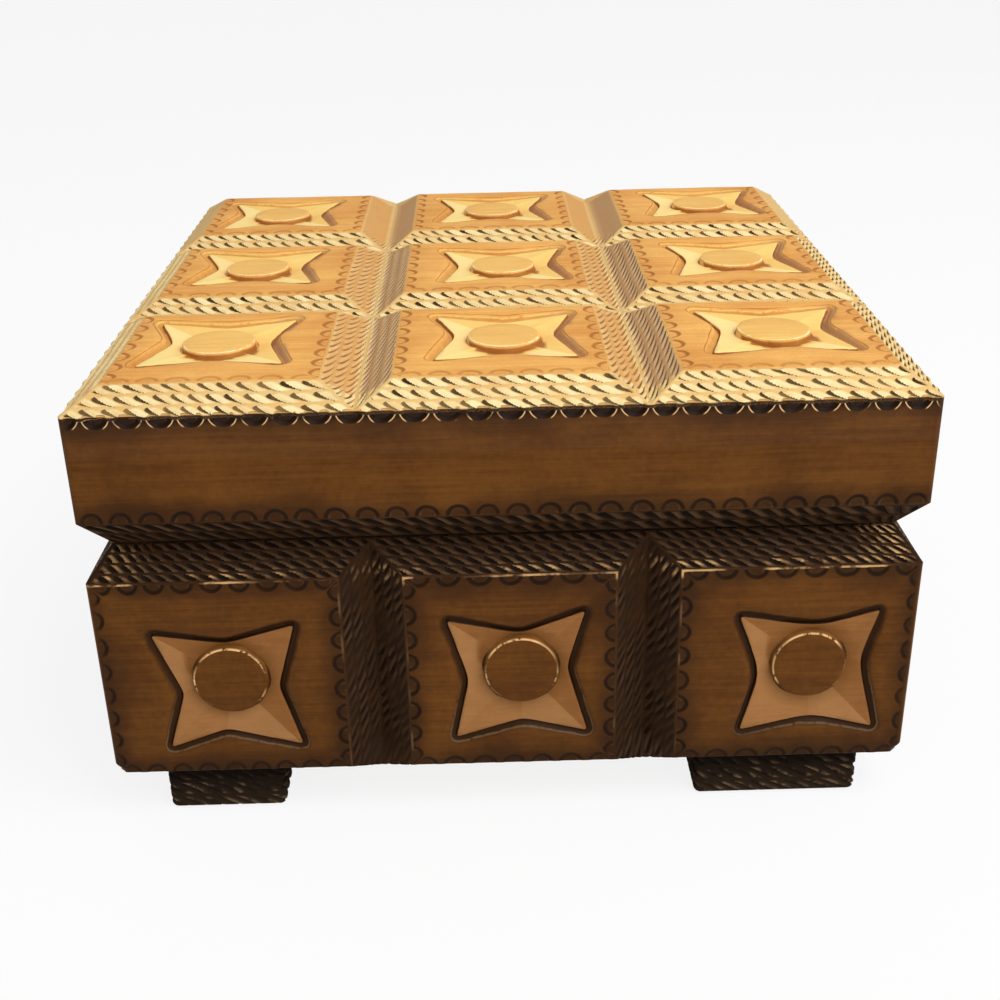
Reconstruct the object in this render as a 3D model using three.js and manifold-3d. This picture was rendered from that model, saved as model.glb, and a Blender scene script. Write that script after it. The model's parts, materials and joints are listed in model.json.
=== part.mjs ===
// A hand-carved square wooden box on four block feet, with a lid that swings up on two small brass
// butt hinges at the back. The lid top is cut into nine raised pads and each wall into three, and
// every pad carries a sunken four-pointed star round a flat disc left at the height of the pad. Rows
// of short gouge cuts round the pads of the top make the slopes there look like rope.
// Millimetres, +Z up, the front faces -Y, and the origin is the centre of the footprint.
import * as THREE from "three";
import { mergeVertices } from "three/addons/utils/BufferGeometryUtils.js";
import Module from "manifold-3d";

const wasm = await Module();
wasm.setup();

// Whole box
const boxWidth = 150; // X, across the front
const boxDepth = 150; // Y, front to back
const wallThickness = 10; // rails of the lid and walls of the body
const padsAcross = 3; // pads along each edge

// Heights, from the table up
const footHeight = 10;
const bodyFaceHeight = 41; // flat carved face of a body wall
const seamBevelHeight = 6; // each of the two bevels that meet at the seam
const lidFaceHeight = 20; // plain face of the lid between its bevels
const topPanelThickness = 12;

// Carving
const topGrooveDepth = 4;
const topGrooveHalfWidth = 6.25;
const wallGrooveDepth = 4;
const wallGrooveHalfWidth = 5.75;
const wallGrooveShift = 0.8; // the wall grooves are cut a little right of the thirds
const seamBevelInset = 4.6; // how far the seam lies behind the face
const discRadius = 6.7;
const starNeck = 2.3; // from the disc to the notch between two tips
const starTipReach = 12.8; // centre to tip, along the row of pads
const starTipRise = 12.5; // centre to tip, across it
const starTipDepth = 0.3; // the star's edge below the pad, at a tip
const starNotchDepth = 1.1; // and at a notch
const starDish = 0.5; // how much deeper the star is at the foot of the disc than at its edge
const outlineDrop = 0.6; // the cut round the star, below the star's edge
const outlineWall = 0.3; // width of that cut's steep inner side
const outlineWidth = 1.7;
const stepsPerStarEdge = 3; // straight pieces between a notch and a tip

// Where the carver set the stars and discs by eye, from where they would be measured out. Stars from
// the middles of their pads, left to right, and for the lid from the front row back.
const wallStarShifts = [
  [0.9, -2.1],
  [1.1, -1],
  [2.7, -1.6],
];
const topStarShifts = [
  [[-1.7, 2.4], [0.9, 2.4], [0.9, 2.3]],
  [[-1.5, 2.5], [1.7, 0.4], [1.5, 1.2]],
  [[-2, 0.5], [0.1, 1], [2.2, 2.5]],
];
const wallDiscShift = [0.4, 1.6]; // from the middle of the star
const topDiscShift = [0, -0.4];

// Rope on the slopes round the lid's pads: rows of tapering cuts that all lean the same way
const ropeRows = 3;
const ropeFirstRow = 0.55; // pad's edge to the first row, in rows
const ropeCutLength = 3.6;
const ropeCutWidth = 1.1;
const ropeCutDepth = 0.55;
const ropeDeepest = 0.3; // how far along a cut it is deepest, as a share of its length
const rowRope = { cutsPerPad: 11, lean: 25 }; // on slopes along X; the lean is in degrees
const columnRope = { cutsPerPad: 12, lean: 18 }; // on slopes along Y

// Bottom panel and feet
const bottomThickness = 6;
const rabbetWidth = 4; // step inside the walls that the bottom panel sits in
const footSetback = 2; // behind the face
const footDepth = 22;
const leftFootWidth = 22.5;
const rightFootWidth = 31.5;
const leftFootInset = 9; // side face to foot
const rightFootInset = 7.5;

// Hinges
const hingeLength = 24;
const hingeFromCorner = 29; // side face to the middle of the hinge
const leafThickness = 0.8;
const leafWidth = 5.2; // pin axis to the leaf's inner edge
const pinRadius = 0.6;
const knuckleRadius = 1.25;
const knuckleCount = 3;
const pinBehindSeam = 0.6; // pin axis outside the foot of the bevels
const screwLength = 8;
const screwHeadRadius = 1.15;
const screwHeadHeight = 0.6;
const screwShankRadius = 0.5;
const screwFromAxis = 3.5; // pin axis to screw axis
const screwFromEnd = 4.5; // leaf's end to screw axis
const slotWidth = 0.35;
const slotDepth = 0.25;

// Clearances
const glueLine = 0.1; // between two glued faces
const seamGap = 0.5; // between the lid and the body
const leafGap = 0.3; // between the two leaves of a shut hinge
const mortiseClearance = 0.1;
const barrelClearance = 0.3; // wood to knuckle
const knuckleClearance = 0.15; // knuckle to knuckle, along the pin
const pinClearance = 0.08; // pin to knuckle bore
const screwClearance = 0.08;

// Worked out from the sizes above
const seamZ = footHeight + bodyFaceHeight + seamBevelHeight;
const lidFaceBottomZ = seamZ + seamBevelHeight;
const topZ = lidFaceBottomZ + lidFaceHeight + topGrooveDepth;
const railTopZ = topZ - topPanelThickness;
const cutProud = 1; // how far a cutter stands out of the face that it cuts
const roundSteps = 24;
const pinAxisY = boxDepth / 2 - seamBevelInset + pinBehindSeam;

const finishes = {
  top: new THREE.MeshStandardMaterial({ name: "top_wood", color: 0xc98a3f, roughness: 0.45 }),
  side: new THREE.MeshStandardMaterial({ name: "side_wood", color: 0x5e3819, roughness: 0.45 }),
  foot: new THREE.MeshStandardMaterial({ name: "foot_wood", color: 0x2e1d11, roughness: 0.6 }),
  bare: new THREE.MeshStandardMaterial({ name: "bare_wood", color: 0xb98b57, roughness: 0.7 }),
  brass: new THREE.MeshStandardMaterial({ name: "brass", color: 0xb08d4a, roughness: 0.35, metalness: 1 }),
};

// A closed three.js geometry as a solid that can be joined and cut.
function solidOf(geometry) {
  const bare = geometry.clone();
  bare.deleteAttribute("normal");
  bare.deleteAttribute("uv");
  const merged = mergeVertices(bare, 1e-4);
  return new wasm.Manifold(
    new wasm.Mesh({
      numProp: 3,
      vertProperties: new Float32Array(merged.attributes.position.array),
      triVerts: new Uint32Array(merged.index.array),
    }),
  );
}

// The other way round, with flat faces.
function geometryOf(solid) {
  const mesh = solid.getMesh();
  const indexed = new THREE.BufferGeometry();
  indexed.setAttribute("position", new THREE.BufferAttribute(mesh.vertProperties, mesh.numProp));
  indexed.setIndex(new THREE.BufferAttribute(mesh.triVerts, 1));
  const flat = indexed.toNonIndexed();
  flat.computeVertexNormals();
  return flat;
}

function block([x0, y0, z0], [x1, y1, z1]) {
  const box = new THREE.BoxGeometry(x1 - x0, y1 - y0, z1 - z0);
  return solidOf(box.translate((x0 + x1) / 2, (y0 + y1) / 2, (z0 + z1) / 2));
}

function outlineShape(points) {
  return new THREE.Shape(points.map(([a, b]) => new THREE.Vector2(a, b)));
}

// An outline of [x, y] points carried up from z0 to z1.
function prismUp(points, z0, z1) {
  const prism = new THREE.ExtrudeGeometry(outlineShape(points), { depth: z1 - z0, bevelEnabled: false });
  return solidOf(prism.translate(0, 0, z0));
}

// An outline of [y, z] points carried along X.
const alongX = new THREE.Matrix4().set(0, 0, 1, 0, 1, 0, 0, 0, 0, 1, 0, 0, 0, 0, 0, 1);
function prismAlongX(points, x0, x1) {
  const prism = new THREE.ExtrudeGeometry(outlineShape(points), { depth: x1 - x0, bevelEnabled: false });
  return solidOf(prism.applyMatrix4(alongX).translate(x0, 0, 0));
}

// A round bar along X.
function rodAlongX(radius, x0, x1, [y, z]) {
  const circle = [];
  for (let i = 0; i < roundSteps; i++) {
    const angle = (2 * Math.PI * i) / roundSteps;
    circle.push([y + radius * Math.cos(angle), z + radius * Math.sin(angle)]);
  }
  return prismAlongX(circle, x0, x1);
}

// A point of the star's edge, which runs straight from a notch, at angle 0, to a tip: its distance
// from the centre and its depth.
function starEdge(angleFromNotch, tipAlong, tipAcross) {
  const waist = discRadius + starNeck;
  const slope = Math.tan(angleFromNotch);
  const share = (waist * slope) / (tipAcross - (tipAlong - waist) * slope);
  return {
    edge: (waist + share * (tipAlong - waist)) / Math.cos(angleFromNotch),
    depth: starNotchDepth + share * (starTipDepth - starNotchDepth),
  };
}

// The edge once round the star, notch to tip to notch.
function starOutline() {
  const outline = [];
  for (let side = 0; side < 4; side++) {
    const [along, across] = side % 2 ? [starTipRise, starTipReach] : [starTipReach, starTipRise];
    const tipAngle = Math.atan2(across, along);
    const notch = (side * Math.PI) / 2;
    for (let i = -stepsPerStarEdge; i < stepsPerStarEdge; i++) {
      const turn = (tipAngle * i) / stepsPerStarEdge;
      outline.push({ angle: notch + turn, ...starEdge(Math.abs(turn), along, across) });
    }
  }
  return outline;
}

// What the carver takes away for one star on a pad whose surface is z = 0: a ring whose floor climbs
// from the foot of the disc to the star's edge, drops into the outline cut and comes out again. The
// tips are left higher than the notches, so four ridges run out to them.
function starCutter([discX, discY]) {
  const outline = starOutline();
  const positions = [];
  for (const { angle, edge, depth } of outline) {
    const profile = [
      [discRadius, cutProud, discX, discY],
      [discRadius, -depth - starDish, discX, discY],
      [edge, -depth, 0, 0],
      [edge + outlineWall, -depth - outlineDrop, 0, 0],
      [edge + outlineWidth, 0, 0, 0],
      [edge + outlineWidth, cutProud, 0, 0],
    ];
    for (const [radius, height, x, y] of profile) {
      positions.push(x + radius * Math.cos(angle), y + radius * Math.sin(angle), height);
    }
  }
  const rings = outline.length;
  const perRing = positions.length / 3 / rings;
  const index = [];
  for (let i = 0; i < rings; i++) {
    for (let j = 0; j < perRing; j++) {
      const a = i * perRing + j;
      const b = i * perRing + ((j + 1) % perRing);
      const c = ((i + 1) % rings) * perRing + ((j + 1) % perRing);
      const d = ((i + 1) % rings) * perRing + j;
      index.push(a, c, b, a, d, c);
    }
  }
  const ring = new THREE.BufferGeometry();
  ring.setAttribute("position", new THREE.Float32BufferAttribute(positions, 3));
  ring.setIndex(index);
  return solidOf(ring);
}

// A V cut along X at one place across the face: [across, height] points, with the face at height 0.
function grooveOutline(centre, halfWidth, depth) {
  const flare = (halfWidth * (depth + cutProud)) / depth;
  return [
    [centre - flare, cutProud],
    [centre, -depth],
    [centre + flare, cutProud],
  ];
}

// Middles of the pads along an edge, where the first and last pad start so far in from the corner and
// the grooves between them are shifted.
function padCentres(length, grooveHalfWidth, cornerInset, grooveShift) {
  const pitch = length / padsAcross;
  return Array.from({ length: padsAcross }, (_, i) => {
    const start = i === 0 ? cornerInset : grooveHalfWidth + grooveShift;
    const end = i === padsAcross - 1 ? cornerInset : grooveHalfWidth - grooveShift;
    return -length / 2 + (i + 0.5) * pitch + (start - end) / 2;
  });
}

// One cut of the rope along X in the surface z = 0: broad and deep at its start, with a thin tail.
function ropeCut() {
  const start = -ropeCutLength / 2;
  const deepest = start + ropeDeepest * ropeCutLength;
  return wasm.Manifold.hull([
    [start, ropeCutWidth / 2, 0],
    [start, -ropeCutWidth / 2, 0],
    [-start, 0, 0],
    [deepest, 0, -ropeCutDepth],
    [deepest, 0, cutProud],
  ]);
}

// Rope down one slope of the lid: the pad's edge is the X axis, and the slope falls toward -y.
function ropeBand(padLength, { cutsPerPad, lean }) {
  const slope = THREE.MathUtils.radToDeg(Math.atan2(topGrooveDepth, topGrooveHalfWidth));
  const cut = ropeCut().rotate([0, 0, -lean]).rotate([slope, 0, 0]);
  const cuts = [];
  for (let row = 0; row < ropeRows; row++) {
    const out = ((row + ropeFirstRow) * topGrooveHalfWidth) / ropeRows;
    const down = (out * topGrooveDepth) / topGrooveHalfWidth;
    for (let i = 0; i < cutsPerPad; i++) {
      cuts.push(cut.translate([((i + 0.5) / cutsPerPad - 0.5) * padLength, -out, -down]));
    }
  }
  return wasm.Manifold.union(cuts);
}

// Lid top: nine pads between V grooves, whose outer slopes are the bevels along the four edges.
function topPanel() {
  let panel = block([-boxWidth / 2, -boxDepth / 2, railTopZ + glueLine], [boxWidth / 2, boxDepth / 2, topZ]);
  for (let i = 0; i <= padsAcross; i++) {
    const y = -boxDepth / 2 + (i * boxDepth) / padsAcross;
    const x = -boxWidth / 2 + (i * boxWidth) / padsAcross;
    const overrun = topGrooveHalfWidth + cutProud;
    const across = grooveOutline(0, topGrooveHalfWidth, topGrooveDepth);
    const rowCut = prismAlongX(across, -boxWidth / 2 - overrun, boxWidth / 2 + overrun);
    const columnCut = prismAlongX(across, -boxDepth / 2 - overrun, boxDepth / 2 + overrun).rotate([0, 0, 90]);
    panel = panel.subtract(rowCut.translate([0, y, topZ])).subtract(columnCut.translate([x, 0, topZ]));
  }
  const padWidth = boxWidth / padsAcross - 2 * topGrooveHalfWidth;
  const padDepth = boxDepth / padsAcross - 2 * topGrooveHalfWidth;
  const along = ropeBand(padWidth, rowRope);
  const up = ropeBand(padDepth, columnRope);
  const ropes = [
    along.translate([0, -padDepth / 2, topZ]),
    up.rotate([0, 0, 90]).translate([padWidth / 2, 0, topZ]),
    along.rotate([0, 0, 180]).translate([0, padDepth / 2, topZ]),
    up.rotate([0, 0, -90]).translate([-padWidth / 2, 0, topZ]),
  ];
  const star = starCutter(topDiscShift);
  padCentres(boxDepth, topGrooveHalfWidth, topGrooveHalfWidth, 0).forEach((y, row) => {
    padCentres(boxWidth, topGrooveHalfWidth, topGrooveHalfWidth, 0).forEach((x, column) => {
      const [shiftX, shiftY] = topStarShifts[row][column];
      const cuts = ropes.map((rope) => rope.translate([x, y, 0]));
      cuts.push(star.translate([x + shiftX, y + shiftY, topZ]));
      panel = panel.subtract(wasm.Manifold.union(cuts));
    });
  });
  return panel;
}

// The plan of a wall with mitred ends, in its own frame: the face is y = 0 and inside is +y.
function mitredPlan(length, thickness) {
  const half = length / 2 - glueLine / Math.SQRT2;
  return [
    [-half, 0],
    [half, 0],
    [half - thickness, thickness],
    [-half + thickness, thickness],
  ];
}

// A lid rail: plain face, with the bevel at its foot that slopes in to the seam.
function lidRail(length) {
  const foot = seamZ + seamGap / 2;
  const section = [
    [seamBevelInset, foot],
    [wallThickness, foot],
    [wallThickness, railTopZ],
    [0, railTopZ],
    [0, lidFaceBottomZ],
  ];
  const bar = prismAlongX(section, -length / 2, length / 2);
  return bar.intersect(prismUp(mitredPlan(length, wallThickness), foot - 1, railTopZ + 1));
}

// A body wall: bevel at the top, V grooves between the pads, stars, and a step for the bottom panel.
function bodyWall(length) {
  const rim = seamZ - seamGap / 2;
  const section = [
    [0, footHeight],
    [wallThickness - rabbetWidth, footHeight],
    [wallThickness - rabbetWidth, footHeight + bottomThickness],
    [wallThickness, footHeight + bottomThickness],
    [wallThickness, rim],
    [seamBevelInset, rim],
    [0, seamZ - seamBevelHeight],
  ];
  const bar = prismAlongX(section, -length / 2, length / 2);
  let wall = bar.intersect(prismUp(mitredPlan(length, wallThickness), footHeight - 1, rim + 1));
  const pitch = length / padsAcross;
  for (let i = 1; i < padsAcross; i++) {
    const middle = -length / 2 + i * pitch + wallGrooveShift;
    const plan = grooveOutline(middle, wallGrooveHalfWidth, wallGrooveDepth);
    const facing = plan.map(([x, height]) => [x, -height]).reverse();
    wall = wall.subtract(prismUp(facing, footHeight - cutProud, rim + cutProud));
  }
  const star = starCutter(wallDiscShift).rotate([90, 0, 0]);
  padCentres(length, wallGrooveHalfWidth, 0, wallGrooveShift).forEach((x, i) => {
    const [shiftX, shiftZ] = wallStarShifts[i];
    wall = wall.subtract(star.translate([x + shiftX, 0, footHeight + bodyFaceHeight / 2 + shiftZ]));
  });
  return wall;
}

// Board let into the step at the foot of the walls.
function bottomPanel() {
  const edge = wallThickness - rabbetWidth + glueLine;
  const x = boxWidth / 2 - edge;
  const y = boxDepth / 2 - edge;
  return block([-x, -y, footHeight], [x, y, footHeight + bottomThickness - glueLine]);
}

function foot(width) {
  return block([-width / 2, -footDepth / 2, 0], [width / 2, footDepth / 2, footHeight - glueLine]);
}

// Where the knuckles start and end along the pin.
function knuckleSpan(index) {
  const each = hingeLength / knuckleCount;
  const start = -hingeLength / 2 + index * each;
  const inset = knuckleClearance / 2;
  return [start + (index > 0 ? inset : 0), start + each - (index < knuckleCount - 1 ? inset : 0)];
}

// One leaf in the hinge's frame: pin along X through the origin, leaf towards -y, below z = 0.
// The body's leaf carries the even knuckles, and the lid's leaf the odd ones.
function hingeLeaf(evenKnuckles) {
  const under = -leafGap / 2 - leafThickness;
  const clearOfBarrel = knuckleRadius + barrelClearance;
  let leaf = block([-hingeLength / 2, -leafWidth, under], [hingeLength / 2, -clearOfBarrel, -leafGap / 2]);
  for (let i = evenKnuckles ? 0 : 1; i < knuckleCount; i += 2) {
    const [x0, x1] = knuckleSpan(i);
    const neck = block([x0, -clearOfBarrel - leafThickness, under], [x1, 0, -leafGap / 2]);
    leaf = leaf.add(neck).add(rodAlongX(knuckleRadius, x0, x1, [0, 0]));
  }
  const bore = rodAlongX(pinRadius + pinClearance, -hingeLength, hingeLength, [0, 0]);
  leaf = leaf.subtract(bore);
  for (const x of screwPlaces()) {
    leaf = leaf.subtract(screwShape(screwClearance).translate([x, -screwFromAxis, -leafGap / 2]));
  }
  return leaf;
}

function screwPlaces() {
  return [-hingeLength / 2 + screwFromEnd, hingeLength / 2 - screwFromEnd];
}

// A countersunk screw pointing down with its head flush at z = 0, or the hole for it if grown.
function screwShape(grown) {
  const top = grown ? cutProud : 0;
  const profile = [
    [0, -screwLength - grown],
    [screwShankRadius + grown, -screwLength + 2 * screwShankRadius - grown],
    [screwShankRadius + grown, -screwHeadHeight - grown],
    [screwHeadRadius + grown, -grown],
  ];
  if (grown) {
    profile.push([screwHeadRadius + grown, top]);
  }
  profile.push([0, top]);
  const lathe = new THREE.LatheGeometry(
    profile.map(([r, z]) => new THREE.Vector2(r, z)),
    roundSteps / 2,
  );
  return solidOf(lathe.rotateX(Math.PI / 2));
}

function hingeScrew() {
  const reach = screwHeadRadius + cutProud;
  const slot = block([-reach, -slotWidth / 2, -slotDepth], [reach, slotWidth / 2, cutProud]);
  return screwShape(0).subtract(slot);
}

function hingePin() {
  return rodAlongX(pinRadius, -hingeLength / 2, hingeLength / 2, [0, 0]);
}

// The wood taken out for one hinge below the seam plane: leaf, barrel and screw holes.
function hingeRecess() {
  const halfLength = hingeLength / 2 + mortiseClearance;
  const floor = -leafGap / 2 - leafThickness - mortiseClearance;
  let recess = block([-halfLength, -leafWidth - mortiseClearance, floor], [halfLength, 0, cutProud]);
  const barrel = knuckleRadius + barrelClearance;
  recess = recess.add(rodAlongX(barrel, -halfLength - barrelClearance, halfLength + barrelClearance, [0, 0]));
  for (const x of screwPlaces()) {
    recess = recess.add(screwShape(screwClearance).translate([x, -screwFromAxis, -leafGap / 2]));
  }
  return recess;
}

const hingeSides = [
  { name: "left", x: -boxWidth / 2 + hingeFromCorner },
  { name: "right", x: boxWidth / 2 - hingeFromCorner },
];

// Cuts both hinge recesses into the back wall or the back rail, which is still in its own frame,
// turned half round from the box's frame. The lid's recess is the body's, upside down.
function withHingeRecesses(wood, inLid) {
  let cut = wood;
  for (const { x } of hingeSides) {
    const upright = inLid ? hingeRecess().mirror([0, 0, 1]) : hingeRecess();
    const placed = upright.rotate([0, 0, 180]).translate([-x, boxDepth / 2 - pinAxisY, seamZ]);
    cut = cut.subtract(placed);
  }
  return cut;
}

const box = new THREE.Group();
const body = new THREE.Group();
const lid = new THREE.Group();
box.add(body, lid);

function place(group, name, solid, finish, position = [0, 0, 0], turn = 0) {
  const mesh = new THREE.Mesh(geometryOf(solid), finish);
  mesh.name = name;
  mesh.position.set(...position);
  mesh.rotation.z = turn;
  group.add(mesh);
  return mesh;
}

const walls = [
  { side: "front", length: boxWidth, at: [0, -boxDepth / 2, 0], turn: 0 },
  { side: "right", length: boxDepth, at: [boxWidth / 2, 0, 0], turn: Math.PI / 2 },
  { side: "back", length: boxWidth, at: [0, boxDepth / 2, 0], turn: Math.PI },
  { side: "left", length: boxDepth, at: [-boxWidth / 2, 0, 0], turn: -Math.PI / 2 },
];
for (const { side, length, at, turn } of walls) {
  const isBack = side === "back";
  const wall = isBack ? withHingeRecesses(bodyWall(length), false) : bodyWall(length);
  const rail = isBack ? withHingeRecesses(lidRail(length), true) : lidRail(length);
  place(body, `body_${side}_wall`, wall, finishes.side, at, turn);
  place(lid, `lid_${side}_rail`, rail, finishes.side, at, turn);
}
place(body, "bottom_panel", bottomPanel(), finishes.bare);
place(lid, "lid_top_panel", topPanel(), finishes.top);

// Feet: the left pair is narrower than the right pair.
const feet = [
  { side: "left", width: leftFootWidth, x: -boxWidth / 2 + leftFootInset + leftFootWidth / 2 },
  { side: "right", width: rightFootWidth, x: boxWidth / 2 - rightFootInset - rightFootWidth / 2 },
];
for (const { side, width, x } of feet) {
  const y = boxDepth / 2 - footSetback - footDepth / 2;
  place(body, `foot_front_${side}`, foot(width), finishes.foot, [x, -y, 0]);
  place(body, `foot_back_${side}`, foot(width), finishes.foot, [x, y, 0]);
}

// Hinges: leaves, pin and countersunk screws, on the pin axis at the seam.
for (const { name, x } of hingeSides) {
  const at = [x, pinAxisY, seamZ];
  place(body, `hinge_${name}_body_leaf`, hingeLeaf(true), finishes.brass, at);
  place(lid, `hinge_${name}_lid_leaf`, hingeLeaf(false).mirror([0, 0, 1]), finishes.brass, at);
  place(body, `hinge_${name}_pin`, hingePin(), finishes.brass, at);
  screwPlaces().forEach((along, i) => {
    const head = leafGap / 2;
    const screwY = pinAxisY - screwFromAxis;
    const down = [x + along, screwY, seamZ - head];
    const up = [x + along, screwY, seamZ + head];
    place(body, `hinge_${name}_body_screw_${i + 1}`, hingeScrew(), finishes.brass, down);
    place(lid, `hinge_${name}_lid_screw_${i + 1}`, hingeScrew().mirror([0, 0, 1]), finishes.brass, up);
  });
}

export default box;
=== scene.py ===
"""A carved, hinged wooden box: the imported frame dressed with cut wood, stain, varnish and brass."""

import json
import math

import bpy
import numpy as np
from bpy.props import FloatProperty, FloatVectorProperty, IntProperty, PointerProperty
from mathutils import Matrix, Vector


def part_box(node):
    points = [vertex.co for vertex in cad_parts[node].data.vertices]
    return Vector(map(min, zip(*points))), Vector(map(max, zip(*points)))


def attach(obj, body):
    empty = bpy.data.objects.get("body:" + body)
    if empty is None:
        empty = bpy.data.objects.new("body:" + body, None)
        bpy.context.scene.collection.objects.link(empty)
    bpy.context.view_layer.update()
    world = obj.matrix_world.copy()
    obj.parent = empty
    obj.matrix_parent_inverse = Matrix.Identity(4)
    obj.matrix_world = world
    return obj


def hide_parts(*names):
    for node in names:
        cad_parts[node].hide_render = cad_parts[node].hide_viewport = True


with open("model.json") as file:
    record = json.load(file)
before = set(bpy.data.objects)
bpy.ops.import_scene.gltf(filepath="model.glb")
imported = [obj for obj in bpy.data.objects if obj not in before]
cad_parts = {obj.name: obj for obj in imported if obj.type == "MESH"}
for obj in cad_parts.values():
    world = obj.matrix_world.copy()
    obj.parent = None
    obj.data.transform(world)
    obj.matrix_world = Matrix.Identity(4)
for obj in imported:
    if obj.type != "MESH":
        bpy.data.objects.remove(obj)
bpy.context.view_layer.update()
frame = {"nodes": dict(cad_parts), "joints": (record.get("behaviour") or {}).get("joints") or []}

bl_info = {
    "name": "Carved Keepsake Box",
    "version": (1, 0, 0),
    "blender": (4, 5, 0),
    "location": "View3D > Sidebar > Carved Box",
    "description": "A wooden box with a hinged lid, gouged rope bands and sunken stars",
    "category": "Add Mesh",
}

MM = 0.001
SIDES = ("front", "right", "back", "left")
PADS = 3
FAR = 9 * MM  # how far off a star, band or edge counts where there is none

# Stars of the front, left to right: the eight corners anticlockwise from the lower left tip, the
# middle of the disc, in mm from the star's middle, and how often their outline is smoothed. The stars
# of the other walls follow their average, and the nine of the lid share a shape of their own.
FRONT_STARS = (
    (((-12.5, -12.5), (-1.2, -9.3), (12.8, -12.3), (9.1, 0.1), (12.7, 13.1), (0.1, 9.1),
      (-13.2, 11.7), (-8.8, -1.2)), (0.4, 1.9), 3),
    (((-11.8, -13.1), (0.8, -10.0), (13.2, -12.4), (9.0, 1.3), (12.1, 13.3), (0.7, 8.9),
      (-13.0, 12.0), (-8.7, -0.6)), (0.7, 1.3), 6),
    (((-12.0, -12.5), (1.4, -9.8), (13.3, -12.7), (9.2, 1.3), (12.3, 12.7), (1.0, 9.4),
      (-13.6, 12.3), (-8.8, -0.4)), (-0.1, 1.5), 24),
)
WALL_STAR = (((-12.2, -12.7), (0.3, -9.7), (13.0, -12.5), (9.1, 0.9), (12.4, 13.0), (0.6, 9.1),
              (-13.1, 12.0), (-8.8, -0.7)), (0.4, 1.6), 8)
TOP_STAR = (((-13.0, -12.2), (0.2, -8.8), (13.0, -12.2), (9.0, 1.6), (12.9, 12.4), (0.0, 9.2),
             (-13.0, 12.2), (-9.0, 1.9)), (0.0, -0.4), 16)

# How far the stars lie from the middles of their pads, in mm, along and up or across. On the walls
# from left to right; on the lid by rows from the front.
WALL_STAR_SHIFTS = ((0.9, -2.1), (1.1, -1.0), (2.7, -1.6))
TOP_STAR_SHIFTS = (
    ((-1.7, 2.4), (0.9, 2.4), (0.9, 2.3)),
    ((-1.5, 2.5), (1.7, 0.4), (1.5, 1.2)),
    ((-2.0, 0.5), (0.1, 1.0), (2.2, 2.5)),
)


# Places read from the frame


def span(node):
    """Lowest and highest corner of a CAD node as two arrays, in metres."""
    low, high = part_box(node)
    return np.array(low), np.array(high)


TOP_LOW, TOP_HIGH = span("lid_top_panel")
RAIL_LOW, RAIL_HIGH = span("lid_front_rail")
WALL_LOW, WALL_HIGH = span("body_front_wall")
LEAF_LOW, LEAF_HIGH = span("hinge_left_body_leaf")
HALF = TOP_HIGH[0]  # centre of the box to a face, the same in X and Y
TOP_Z = TOP_HIGH[2]
WALL_THICKNESS = WALL_HIGH[1] - WALL_LOW[1]
PITCH = 2 * HALF / PADS
HINGE = frame["joints"][0]["pos_m"]
SEAM_GAP = RAIL_LOW[2] - WALL_HIGH[2]
LINES = -HALF + PITCH * np.arange(PADS + 1)  # edges of the lid and bottoms of its grooves
LEAF_MIDDLE = (LEAF_LOW[0] + LEAF_HIGH[0]) / 2
LEAF_HALF = (LEAF_HIGH[0] - LEAF_LOW[0]) / 2

# Sizes that nobody would change
TOP_PATCH = (16.1 * MM, 15.8 * MM)  # half sizes of the mesh patch round a star, on the lid
WALL_PATCH = 16.2 * MM  # and on a wall
GIVE = 3 * MM  # how far in from its edges the lid's top gives way to the bites
MITRE_FADE = 12 * MM  # how far from a mitred end the mesh moves with it
SHOULDER = 0.3 * MM  # softness of the grooves' shoulders
EASE = 0.4 * MM  # bevel on the inner edges at the seam
LEAF_ROOM, BARREL_ROOM = 0.1 * MM, 0.4 * MM  # room beside a hinge's leaf and beside its barrel
LEAF_END = 0.8 * MM  # how far a leaf's recess reaches up or down from the seam's edge
LEAF_STEP = (LEAF_END - 0.01 * MM, LEAF_END + 0.01 * MM)  # grid stops either side of its end
GLUE_LINE = 0.08 * MM  # how far the rails reach up into the glue line under the top panel
PANEL_ROOM = 0.1 * MM  # room round the bottom panel in its step
EDGE_RINGS = (0.7 * MM, 3.7 * MM)  # below the lid's top edge, where the strips' sides have fine rings
LAST_RING = 5.5 * MM  # and where they have one more
BARE_FROM = 0.6 * MM  # how far in from its sides the underside of a strip is bare
WEAR_AND_HIGHLIGHT_ENDS = (62 * MM, 71 * MM)  # from the middle of a wall, over which its bevel's wear and painted highlight set in
UNDERSIDE = TOP_LOW[2] - 0.02 * MM  # underside of the lid's top panel, a hair under the CAD's
BITES_FROM = 77 * MM  # height on the lid over which scallops are bites
SMOOTH_BACK = (27 * MM, 34 * MM)  # where the rope of the lid's column grooves ends towards the back
TOP_LIGHT, WALL_LIGHT = (0.1, -1.0), (-0.2, 1.0)  # sides of the stars that catch the light, in plan
FACET_LIGHT = (0.75, 0.65)  # where a star's bright facets face, in plan


def lid_bevel(sizes):
    """Height at which the bevel over the seam meets the lid's face."""
    return RAIL_LOW[2] + sizes.bevel_height - SEAM_GAP / 2


def wall_bevel(sizes):
    """Height at which the bevel under the seam meets the walls' face."""
    return WALL_HIGH[2] - sizes.bevel_height + SEAM_GAP / 2


def top_edge(sizes):
    """Height of the lid's top edge, where the bevels of its top end."""
    return TOP_Z - sizes.top_groove_depth


def srgb(red, green, blue):
    """A colour written as 0 to 255, as the linear values that a shader takes."""
    levels = np.array([red, green, blue]) / 255
    linear = np.where(levels <= 0.04045, levels / 12.92, ((levels + 0.055) / 1.055) ** 2.4)
    return tuple(float(level) for level in linear)


def length_property(name, description, millimetres):
    """A length whose default is written in millimetres."""
    return FloatProperty(
        name=name, description=description, default=millimetres * MM, unit="LENGTH", precision=5
    )


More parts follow.
